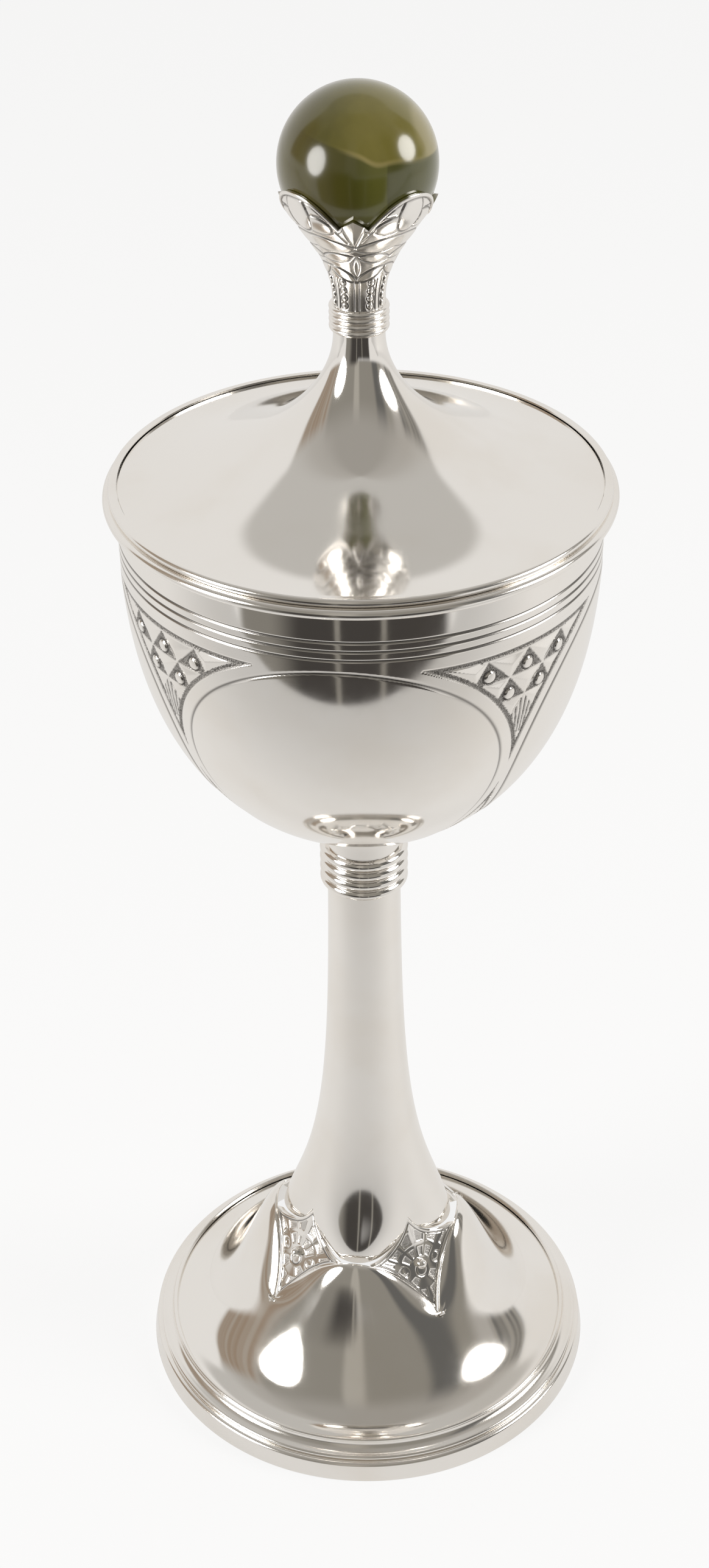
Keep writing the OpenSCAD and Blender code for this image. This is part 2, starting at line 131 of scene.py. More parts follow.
def joined(*parts: Array, step: float = 0.6, closed: bool = True) -> Array:
    """One profile from several, with long straight runs cut into short ones.

    Args:
        parts: profiles or single points, in order.
        step: longest distance left between two points.
        closed: whether the last point runs back to the first.

    Returns:
        The joined profile without repeated points.
    """
    line = np.concatenate([np.atleast_2d(np.asarray(p, float)) for p in parts])
    ahead = np.roll(line, -1, axis=0) if closed else line[1:]
    gap = np.linalg.norm(ahead - line[:len(ahead)], axis=1)
    cuts = np.maximum(np.ceil(gap / step), 1).astype(int) * (gap > TINY)
    share = np.concatenate([np.arange(n) / n for n in cuts if n])
    start = np.repeat(np.arange(len(gap)), cuts)
    run = line[start] + share[:, None] * (ahead - line[:len(ahead)])[start]
    return run if closed else np.concatenate([run, line[-1:]])


def unit(v: Array) -> Array:
    """Vectors of length one along the last axis; a vector of no length stays as it is."""
    length = np.linalg.norm(v, axis=-1, keepdims=True)
    return v / np.maximum(length, TINY ** 2)


def one_more(line: Array) -> Array:
    """A row of numbers with one more even step at each end."""
    return np.concatenate([[2 * line[0] - line[1]], line, [2 * line[-1] - line[-2]]])


def run_length(profile: Array) -> Array:
    """Length along a profile from its first point to each point."""
    steps = np.linalg.norm(np.diff(profile, axis=0), axis=1)
    return np.concatenate([[0.0], np.cumsum(steps)])


def half_round(inner: float, outer: float, low: float, height: float) -> Array:
    """Profile of a flat-backed wire with a round front, from its lower edge up.

    Args:
        inner: radius of the flat back.
        outer: largest radius of the round front.
        low: height of the lower edge.
        height: the wire's height.

    Returns:
        The closed profile.
    """
    half = height / 2
    return joined((inner, low), arc((outer - half, low + half), half, -90, 90),
                  (inner, low + height))


@dataclass
class Surface:
    """A grid of points in millimetres with the marks that its finish reads.

    Rows that run up the outside and columns that run with the azimuth make faces that look out.
    """

    points: Array
    round_columns: bool = True
    round_rows: bool = False
    marks: dict[str, Array] = field(default_factory=dict)
    normals: Array | None = None

    def faces(self) -> list[Array]:
        """Quads of the grid, and triangles where a row shrinks to a pole.

        Returns:
            Index arrays of four and of three corners.
        """
        rows, columns = self.points.shape[:2]
        index = np.arange(rows * columns).reshape(rows, columns)
        for end in (0, rows - 1):
            if np.ptp(self.points[end], axis=0).max() < TINY:
                index[end] = index[end, 0]
        if self.round_columns:
            index = np.concatenate([index, index[:, :1]], axis=1)
        if self.round_rows:
            index = np.concatenate([index, index[:1]], axis=0)
        corners = [index[:-1, :-1], index[:-1, 1:], index[1:, 1:], index[1:, :-1]]
        quads = np.stack(corners, -1).reshape(-1, 4)
        low, high = quads[:, 0] == quads[:, 1], quads[:, 2] == quads[:, 3]
        triangles = np.concatenate([quads[low][:, [0, 2, 3]], quads[high][:, [0, 1, 2]]])
        return [quads[~(low | high)], triangles]


def circle(columns: int) -> Array:
    """Azimuths of even steps round the axis, in degrees."""
    return np.linspace(0.0, 360.0, columns, endpoint=False)


def turned(azimuth: Array | float, rz: Array) -> Array:
    """Points of (radius, height) pairs turned about the axis: (r cos a, r sin a, z).

    Args:
        azimuth: angles in degrees.
        rz: radius and height along the last axis.

    Returns:
        The points.
    """
    a = np.radians(azimuth)
    return np.stack(np.broadcast_arrays(
        rz[..., 0] * np.cos(a), rz[..., 0] * np.sin(a), rz[..., 1]), -1)


def lathe(profile: Array, columns: int = 192, closed: bool = True, satin: float = 0.0) -> Surface:
    """Surface of a profile turned about the axis: (r cos a, r sin a, z).

    Args:
        profile: radius and height, counter-clockwise round the metal.
        columns: steps round the axis.
        closed: whether the profile is a loop.
        satin: how dull the metal's polish is, 0 for a mirror.

    Returns:
        The turned surface.
    """
    points = turned(circle(columns), profile[:, None])
    marks = {"satin": np.full(points.shape[:2], satin)} if satin else {}
    return Surface(points, True, closed, marks)


def grid_normals(points: Array) -> Array:
    """Outward normals of a grid: the step along columns crossed with the step along rows."""
    return unit(np.cross(np.gradient(points, axis=1), np.gradient(points, axis=0)))


def rolled_sheet(outer: Array, thickness: float, roll: int = 6) -> Array:
    """Closed loops of a sheet with a round edge along its first row.

    The inner face lies one thickness under the outer one, and the edge is half a circle.

    Args:
        outer: grid of the outer face, with the free edge as row 0, all the way round.
        thickness: the sheet's thickness.
        roll: steps of the rounded edge.

    Returns:
        Grid whose rows run from the edge up outside, down inside and round the edge.
    """
    wrapped = np.concatenate([outer[:, -1:], outer, outer[:, :1]], axis=1)
    normal = grid_normals(wrapped)[:, 1:-1]
    inner = outer - thickness * normal
    beyond = unit(outer[0] - outer[1])
    angle = np.radians(np.linspace(-90.0, 90.0, roll + 1))[1:-1, None, None]
    round_off = normal[0] - np.sin(angle) * normal[0] - np.cos(angle) * beyond
    edge = outer[0] - thickness / 2 * round_off
    return np.concatenate([outer, inner[::-1], edge])


@dataclass
class Relief:
    """Chased work on a sheet: height over it, engraved lines and stippled ground."""

    height: Array
    line: Array
    ground: Array

    @classmethod
    def plain(cls, shape: tuple[int, ...]) -> "Relief":
        """A sheet with no work on it."""
        return cls(np.zeros(shape), np.zeros(shape), np.zeros(shape))

    def cut(self, distance: Array, width: float) -> None:
        """Engraves a line where distance is near 0, with a soft V section."""
        self.line = np.maximum(self.line, np.exp(-(distance / width) ** 2))

    def boss(self, distance: Array, swell: float, rise: float, line: float) -> None:
        """Raises a round-edged pillow where distance is negative and lines it.

        Args:
            distance: distance to the shape's edge, negative inside.
            swell: width over which the edge rounds up.
            rise: height of the pillow.
            line: width of the line round it.
        """
        crown = rise * np.sqrt(1.0 - (1.0 - np.clip(-distance / swell, 0.0, 1.0)) ** 2)
        self.swell(distance < 0, crown)
        self.cut(distance, line)

    def level(self, where: Array, height: Array | float) -> None:
        """Gives the sheet a new height, with no ground, where the condition holds."""
        self.height = np.where(where, height, self.height)
        self.ground = np.where(where, 0.0, self.ground)

    def swell(self, where: Array, height: Array) -> None:
        """Gives the sheet a new height, with no lines, where the condition holds."""
        self.height = np.where(where, height, self.height)
        self.line = np.where(where, 0.0, self.line)

    def sink(self, distance: Array, depth: float, wall: float, stipple: float = 1.0) -> None:
        """Sinks a stippled ground where distance is negative, with a steep wall.

        Args:
            distance: distance to the ground's edge, negative inside.
            depth: how deep the ground lies.
            wall: width of the wall.
            stipple: how strong the stipple is, up to 1.
        """
        share = ease(0.0, wall, -distance)
        self.height = mix(self.height, -depth, share)
        self.ground = np.maximum(self.ground, stipple * share)

    def total(self, depth: float) -> Array:
        """Height with the lines cut to that depth."""
        return self.height - depth * self.line


def oval(x: Array, y: Array, a: Array | float, b: float) -> Array:
    """Near distance to an ellipse of half axes a and b about the origin, negative inside."""
    return (np.hypot(x / a, y / b) - 1.0) * np.minimum(a, b)


def leaf(x: Array, y: Array, start: Sequence[float], end: Sequence[float], width: float) -> Array:
    """Distance to a pointed leaf: two equal arcs that meet at its ends, negative inside.

    Args:
        x: first coordinate of the points.
        y: second coordinate of the points.
        start: one tip.
        end: the other tip.
        width: half the leaf's width at its middle.

    Returns:
        The distances.
    """
    middle = (np.asarray(start) + np.asarray(end)) / 2.0
    half = np.subtract(end, start) / 2.0
    length = np.hypot(*half)
    along = ((x - middle[0]) * half[0] + (y - middle[1]) * half[1]) / length
    across = np.abs((x - middle[0]) * half[1] - (y - middle[1]) * half[0]) / length
    radius = (length ** 2 + width ** 2) / (2.0 * width)
    return np.hypot(along, across + radius - width) - radius


def stroke(x: Array, y: Array, start: Sequence[float], end: Sequence[float]) -> Array:
    """Distance to a straight stroke: to the nearest point between its two ends.

    Args:
        x: first coordinate of the points.
        y: second coordinate of the points.
        start: one end.
        end: the other end.

    Returns:
        The distances.
    """
    dx, dy = end[0] - start[0], end[1] - start[1]
    t = np.clip(((x - start[0]) * dx + (y - start[1]) * dy) / (dx * dx + dy * dy), 0.0, 1.0)
    return np.hypot(x - start[0] - t * dx, y - start[1] - t * dy)


def polygon(x: Array, y: Array, corners: Sequence[Sequence[float]]) -> Array:
    """Distance to a convex shape: the largest of the distances to its sides.

    Args:
        x: first coordinate of the points.
        y: second coordinate of the points.
        corners: the shape's corners, counter-clockwise.

    Returns:
        The distances, negative inside.
    """
    sides = zip(corners, [*corners[1:], corners[0]])
    return np.max([
        ((x - p[0]) * (q[1] - p[1]) - (y - p[1]) * (q[0] - p[0])) / math.dist(p, q)
        for p, q in sides
    ], axis=0)


def operator(operation: str) -> Callable[["Socket", "Socket | float"], "Socket"]:
    """Method of a socket that adds a Math node of itself and another value."""
    return lambda self, *other: self.math(operation, *other)


class Socket:
    """A node's output with arithmetic, where each operation adds a Math node."""

    def __init__(self, graph: "Graph", link: bpy.types.NodeSocket) -> None:
        """Keeps the graph and the output."""
        self.graph, self.link = graph, link

    def math(self, operation: str, *others: "Socket | float") -> "Socket":
        """Math node of this value and others."""
        return self.graph.node("ShaderNodeMath", dict(enumerate((self, *others))),
                               operation=operation)

    def __rsub__(self, other: float) -> "Socket":
        """Difference from a number."""
        return self.graph.node("ShaderNodeMath", {0: other, 1: self}, operation="SUBTRACT")

    __add__ = __radd__ = operator("ADD")
    __mul__ = __rmul__ = operator("MULTIPLY")
    __sub__ = operator("SUBTRACT")
    __truediv__ = operator("DIVIDE")
    __abs__ = operator("ABSOLUTE")

    def ramp(self, low: float, high: float) -> "Socket":
        """Smooth step from 0 at low to 1 at high.

        Args:
            low: value that gives 0, which may be the larger one.
            high: value that gives 1.

        Returns:
            The step.
        """
        start, end, to = (low, high, (0.0, 1.0)) if low < high else (high, low, (1.0, 0.0))
        return self.graph.node(
            "ShaderNodeMapRange", {"Value": self, "From Min": start, "From Max": end,
                                   "To Min": to[0], "To Max": to[1]},
            interpolation_type="SMOOTHSTEP")


class Graph:
    """Nodes of one material or of the world."""

    def __init__(self, tree: bpy.types.NodeTree) -> None:
        """Starts from an empty tree."""
        self.tree = tree
        tree.nodes.clear()

    def node(self, kind: str, inputs: dict | None = None, output: int | str = 0,
             **settings: str) -> Socket:
        """Adds a node.

        Args:
            kind: the node's type.
            inputs: values or links by socket name or number.
            output: name or number of the output that is wanted.
            settings: the node's own properties, set first.

        Returns:
            That output.
        """
        node = self.tree.nodes.new(kind)
        for name, value in settings.items():
            setattr(node, name, value)
        for name, value in (inputs or {}).items():
            if isinstance(value, Socket):
                self.tree.links.new(value.link, node.inputs[name])
            elif isinstance(value, tuple) and node.inputs[name].type == "RGBA":
                node.inputs[name].default_value = (*value, 1.0)
            else:
                node.inputs[name].default_value = value
        return Socket(self, node.outputs[output] if node.outputs else None)

    def blend(self, factor: Socket, a: Socket | Colour, b: Socket | Colour) -> Socket:
        """Colour the share factor of the way from a to b."""
        return self.node("ShaderNodeMix", {0: factor, 6: a, 7: b}, 2, data_type="RGBA")

    def noise(self, place: Socket, scale: float, detail: float = 2.0) -> Socket:
        """Noise value with a mean of 0.5."""
        return self.node("ShaderNodeTexNoise",
                         {"Vector": place, "Scale": scale, "Detail": detail}, "Fac")

    def mark(self, name: str) -> Socket:
        """The piece's own mark of that name, 0 where it has none."""
        return self.node("ShaderNodeAttribute", output="Fac", attribute_name=name)

    def place(self, kind: str = "Object") -> Socket:
        """Texture coordinates of that kind."""
        return self.node("ShaderNodeTexCoord", output=kind)

    def axes(self, place: Socket) -> tuple[Socket, Socket, Socket]:
        """The three numbers of a place."""
        apart = self.node("ShaderNodeSeparateXYZ", {0: place}).link.node
        return tuple(Socket(self, out) for out in apart.outputs)

    def surface(self, shader: Socket, kind: str = "ShaderNodeOutputMaterial") -> None:
        """Ends the graph in its output."""
        self.node(kind, {"Surface": shader})


def new_material(name: str) -> tuple[bpy.types.Material, Graph]:
    """Starts an empty node material.

    Args:
        name: the material's name.

    Returns:
        The material and its graph.
    """
    material = bpy.data.materials.new(name)
    material.use_nodes = True
    return material, Graph(material.node_tree)


@dataclass(frozen=True)
class SilverFinish:
    """Hand-polished silver, a little warm, with dark oxide left in the chased lines."""

    polish: Colour = (0.93, 0.905, 0.87)
    tarnish: Colour = (0.84, 0.785, 0.71)
    oxide: Colour = (0.12, 0.112, 0.105)
    gloss: float = 0.055
    cloud_scale: float = 28.0
    grain_scale: float = 420.0
    stipple_scale: float = 2300.0
    stipple_depth: float = 0.00016
    wave_scale: float = 60.0
    wave_depth: float = 0.00002
    cloud_tint: float = 0.45
    line_tint: float = 0.85
    most_tint: float = 0.94
    cloud_rough: float = 0.05
    grain_rough: float = 0.04
    ground_rough: float = 0.4
    line_rough: float = 0.15
    satin_rough: float = 0.13

    def material(self) -> bpy.types.Material:
        """Builds the node material.

        Returns:
            The material.
        """
        material, g = new_material("polished_silver")
        place = g.place()
        cloud = g.noise(place, self.cloud_scale, 5.0).ramp(0.42, 0.75)
        grain = g.noise(place, self.grain_scale, 3.0)
        line, ground, satin = g.mark("line"), g.mark("ground"), g.mark("satin")
        stipple = g.node("ShaderNodeTexVoronoi", {"Vector": place, "Scale": self.stipple_scale},
                         "Distance")
        wave = g.noise(place, self.wave_scale, 1.0)
        colour = g.blend(cloud * self.cloud_tint, self.polish, self.tarnish)
        dark = line * self.line_tint + ground * (0.5 + 0.5 * stipple)
        dark = dark.math("MINIMUM", self.most_tint)
        height = stipple * ground * ground + wave * (self.wave_depth / self.stipple_depth)
        bump = g.node("ShaderNodeBump", {
            "Strength": 1.0, "Distance": self.stipple_depth, "Height": height})
        g.surface(g.node("ShaderNodeBsdfPrincipled", {
            "Base Color": g.blend(dark, colour, self.oxide),
            "Metallic": 1.0,
            "Roughness": (self.gloss + cloud * self.cloud_rough + grain * self.grain_rough
                          + ground * self.ground_rough + line * self.line_rough
                          + satin * self.satin_rough),
            "Normal": bump,
        }))
        return material


@dataclass(frozen=True)
class OnyxFinish:
    """Polished green onyx: a paler cap over a wavy tan vein, darker and banded below, painted haze
    at its upper right edge.
    """

    centre: float
    radius: float
    earth: Colour = (0.066, 0.054, 0.009)
    moss: Colour = (0.070, 0.074, 0.010)
    olive: Colour = (0.112, 0.101, 0.013)
    honey: Colour = (0.215, 0.185, 0.032)
    leaf: Colour = (0.165, 0.165, 0.030)
    vein: Colour = (0.40, 0.33, 0.12)
    # Colour of the painted reflection: pale haze along the ball's upper right edge
    painted_haze: Colour = (0.40, 0.345, 0.17)
    vein_tilt: float = 0.22
    vein_height: float = 0.45
    vein_dip: float = 0.36
    dip_half: float = 0.15
    dip_depth: float = 0.06
    painted_haze_slope: float = 0.46
    drift_scale: float = 1.6
    drift_lift: float = 0.05
    wisp_scale: float = 1.3
    wisp_stretch: tuple[float, float, float] = (5.0, 5.0, 0.7)
    wisp_tint: float = 0.5
    painted_haze_tint: float = 0.6
    shaft_tint: float = 0.55
    vein_tint: float = 0.75
    index: float = 1.5
    gloss: float = 0.16
    wisp_rough: float = 0.04
    coat: float = 0.8
    coat_rough: float = 0.12

    def material(self) -> bpy.types.Material:
        """Builds the node material in coordinates that run from -1 to 1 over the ball.

        Returns:
            The material.
        """
        material, g = new_material("green_onyx")
        scale = 1.0 / (self.radius * MM)
        place = g.node("ShaderNodeMapping", {
            "Vector": g.place(), "Location": (0.0, 0.0, -self.centre * MM * scale),
            "Scale": (scale, scale, scale)})
        x, y, z = g.axes(place)
        drift = g.noise(place, self.drift_scale, 3.0) - 0.5
        drawn = g.node("ShaderNodeMapping", {"Vector": place, "Scale": self.wisp_stretch})
        wisp = g.noise(drawn, self.wisp_scale, 4.0)
        dip = (x - self.vein_dip) / self.dip_half
        over = z + self.vein_tilt * x - self.vein_height + drift * self.drift_lift
        over = over + (dip * dip * -1.0).math("EXPONENT") * self.dip_depth
        cap = over.ramp(-0.015, 0.02)
        side = (x + drift * 0.5).ramp(-0.6, 0.45)
        shaft = x.ramp(0.05, 0.4) * x.ramp(0.49, 0.46) * y.ramp(0.2, -0.3) * (1.0 - cap)
        body = g.blend(side, self.earth, self.moss)
        body = g.blend(wisp * self.wisp_tint, body, self.olive)
        upper = g.blend(side * 0.9 + wisp * 0.4 - 0.2, self.olive, self.honey)
        # Painted reflection: a pale band along the ball's upper right edge stands in for the room's
        # haze reflected there
        painted_haze_edge = (x + z * self.painted_haze_slope).ramp(0.97, 1.04)
        upper = g.blend(painted_haze_edge * self.painted_haze_tint, upper, self.painted_haze)
        stone = g.blend(cap * x.ramp(-0.8, 0.1), body, upper)
        stone = g.blend(shaft * self.shaft_tint, stone, self.leaf)
        thread = abs(over).ramp(0.05, 0.0) * y.ramp(0.4, -0.2)
        thread = thread * x.ramp(-0.2, 0.25) * x.ramp(1.1, 0.2)
        g.surface(g.node("ShaderNodeBsdfPrincipled", {
            "Base Color": g.blend(thread * self.vein_tint, stone, self.vein),
            "Roughness": self.gloss + wisp * self.wisp_rough,
            "IOR": self.index,
            "Coat Weight": self.coat,
            "Coat Roughness": self.coat_rough,
        }))
        return material


@dataclass(frozen=True)
class BrassFinish:
    """Turned brass of the hidden fixings, dulled in patches."""

    bright: Colour = (0.72, 0.54, 0.26)
    dull: Colour = (0.46, 0.33, 0.15)
    patch_scale: float = 180.0
    gloss: float = 0.22
    patch_rough: float = 0.2

    def material(self) -> bpy.types.Material:
        """Builds the node material.

        Returns:
            The material.
        """
        material, g = new_material("brass")
        patch = g.noise(g.place(), self.patch_scale, 4.0).ramp(0.35, 0.7)
        g.surface(g.node("ShaderNodeBsdfPrincipled", {
            "Base Color": g.blend(patch, self.bright, self.dull),
            "Metallic": 1.0,
            "Roughness": self.gloss + patch * self.patch_rough,
        }))
        return material


@dataclass
class Workshop:
    """Turns surfaces into pieces that ride on the frame."""

    nodes: dict[str, bpy.types.Object]
    finishes: dict[Slot, bpy.types.Material]
    crease: float = 38.0

    def mesh(self, name: str, surfaces: Sequence[Surface]) -> bpy.types.Mesh:
        """Makes one mesh of the surfaces, with their marks as attributes.

        Args:
            name: the mesh's name.
            surfaces: grids that make it up.

        Returns:
            The mesh, smooth but for its creases.
        """
        points = np.concatenate([s.points.reshape(-1, 3) for s in surfaces]) * MM
        starts = np.cumsum([0, *(s.points[..., 0].size for s in surfaces)])
        faces = [f + start for s, start in zip(surfaces, starts) for f in s.faces()]
        corners = np.concatenate([f.ravel() for f in faces])
        used, corners = np.unique(corners, return_inverse=True)
        counts = np.concatenate([np.full(len(f), f.shape[1]) for f in faces])
        data = bpy.data.meshes.new(name)
        data.vertices.add(len(used))
        data.vertices.foreach_set("co", points[used].astype(np.float32).ravel())
        data.loops.add(len(corners))
        data.loops.foreach_set("vertex_index", corners.astype(np.int32))
        data.polygons.add(len(counts))
        data.polygons.foreach_set("loop_start", (np.cumsum(counts) - counts).astype(np.int32))
        for mark in sorted({m for s in surfaces for m in s.marks}):
            plain = [np.zeros(s.points.shape[:2]) for s in surfaces]
            values = np.concatenate([s.marks.get(mark, p).ravel() for s, p in zip(surfaces, plain)])
            layer = data.attributes.new(mark, "FLOAT", "POINT")
            layer.data.foreach_set("value", values[used].astype(np.float32))
        data.update(calc_edges=True)
        data.validate()
        data.shade_smooth()
        if all(s.normals is not None for s in surfaces):
            normals = np.concatenate([s.normals.reshape(-1, 3) for s in surfaces])[used]
            data.normals_split_custom_set_from_vertices(normals.tolist())
        else:
            data.set_sharp_from_angle(angle=math.radians(self.crease))
        return data

    def piece(self, name: str, surfaces: Sequence[Surface], body: Body, node: str,
              slot: Slot = Slot.SILVER) -> None:
        """Makes a piece and dresses it.

        Args:
            name: the piece's name.
            surfaces: grids that make it up.
            body: the body that carries it.
            node: the frame's node that it stands for.
            slot: the record's material slot.
        """
        data = self.mesh(name, surfaces)
        data.materials.append(self.finishes[slot])
        piece = bpy.data.objects.new(name, data)
        bpy.context.scene.collection.objects.link(piece)
        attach(piece, body.value)
        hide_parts(node)
        log.info("%s: %d faces on %s", name, len(data.polygons), body.value)

    def dress(self, names: Sequence[str], slot: Slot) -> None:
        """Gives frame nodes that stay the finish of a slot.

        Args:
            names: the nodes' names.
            slot: the record's material slot.
        """
        for name in names:
            self.nodes[name].data.materials.clear()
            self.nodes[name].data.materials.append(self.finishes[slot])
            log.info("%s: kept from the frame", name)


def lobe(azimuth: Array) -> Array:
    """Share of the way from a tongue's middle, 0, to a panel's middle, 1."""
    return np.abs((azimuth + EIGHTH) % (2 * EIGHTH) - EIGHTH) / EIGHTH


def quarter_middle(number: int) -> float:
    """Azimuth of the middle of a quarter, counted from 1, in degrees."""
    return (2 * number - 1) * EIGHTH


@dataclass
class Trumpet:
    """Form that stem, panels and dome share: trumpet, tongues and the shoulders under them."""

    tongue_z: float = 48.2
    tongue_rise: float = 9.8
    edge_power: float = 3.4
    neck_r: float = 9.9
    flare: float = 17.8
    flare_len: float = 28.4
    tip_depth: float = 7.5
    tip_len: float = 4.4
    valley_depth: float = 0.75
    valley_len: float = 12.0
    lap: float = 1.5
    gap: float = 0.5
    corner_r: float = 35.85
    corner_z: float = 30.1
    arch_bulge: float = 5.1
    arch_power: float = 1.9
    arch_round: float = 0.82
    curl: float = 2.2
    curl_len: float = 4.4
    crease: float = 0.6
    crease_len: float = 9.0
    crease_power: float = 14.0

    def radius(self, z: Array, q: Array) -> Array:
        """Radius at a height: an exponential flare, with rounded tongues and valleys between.

        Args:
            z: height.
            q: share of the way from a tongue's middle to a panel's.

        Returns:
            The radius.
        """
        side = np.sin(np.pi / 2 * q)
        up = z - self.tongue_z
        bell = self.flare * np.exp(-up / self.flare_len)
        tip = self.tip_depth * np.exp(-up / self.tip_len) * side ** 2
        drawn = self.valley_depth * np.exp(-(up - self.tongue_rise) / self.valley_len)
        return self.neck_r + bell - tip - drawn * side ** 4

    def skin(self, z: Array, q: Array) -> Array:
        """Radius with the tongues' tips curled in and a crease drawn up each valley.

        Args:
            z: height.
            q: share of the way from a tongue's middle to a panel's.

        Returns:
            The radius.
        """
        side = np.pi / 2 * q
        curl = self.curl * np.exp(-(z - self.tongue_z) / self.curl_len) * np.cos(side) ** 2
        fold = self.crease * np.exp(-np.abs(z - self.tongue_z - self.tongue_rise) / self.crease_len)
        return self.radius(z, q) - curl - fold * np.sin(side) ** self.crease_power

    def tongue_edge(self, q: Array) -> Array:
        """Edge of a tongue: its height rises with a power of the share q."""
        z = self.tongue_z + self.tongue_rise * q ** self.edge_power
        return np.stack([self.radius(z, q), z], -1)

    def fall(self, q: Array) -> Array:
        """Share of the arch's fall: a superellipse from tongue's middle to panel's point."""
        return 1.0 - np.clip(1.0 - q ** self.arch_power, 0.0, 1.0) ** self.arch_round

    def arch(self, q: Array) -> Array:
        """Upper edge of the dome, round under a tongue and pointed under a panel.

        Args:
            q: share of the way from a tongue's middle to a panel's.

        Returns:
            Pairs of radius and height.
        """
        top = self.radius(self.tongue_z, 0.0) + self.gap
        return np.stack([mix(top, self.corner_r, q ** self.arch_bulge),
                         mix(self.tongue_z + self.lap, self.corner_z, self.fall(q))], -1)

    @staticmethod
    def soften(q: Array, width: Array | float) -> Array:
        """The share q with its crease at 1 rounded off over a width."""
        return 1.0 - np.hypot(1.0 - q, width) + np.hypot(1.0, width) - 1.0


@dataclass
class Stem:
    """Trumpet-shaped tube that ends in four tongues with rounded edges."""

    form: Trumpet
    top: float = 172.0
    wall: float = 1.1
    columns: int = 256
    rows: int = 110
    row_power: float = 1.6

    def build(self, shop: Workshop) -> None:
        """Rows run from the tongues' edge up: z = edge + (top - edge) t^row_power.

        Args:
            shop: makes the piece.
        """
        azimuth = circle(self.columns)
        q = lobe(azimuth)[None]
        low = self.form.tongue_edge(q)[..., 1]
        share = np.linspace(0.0, 1.0, self.rows)[:, None] ** self.row_power
        z = mix(low, self.top, share)
        outer = turned(azimuth, np.stack([self.form.skin(z, q), z], -1))
        tube = Surface(rolled_sheet(outer, self.wall), True, True)
        shop.piece("stem_tube", [tube], Body.GOBLET, "stem")


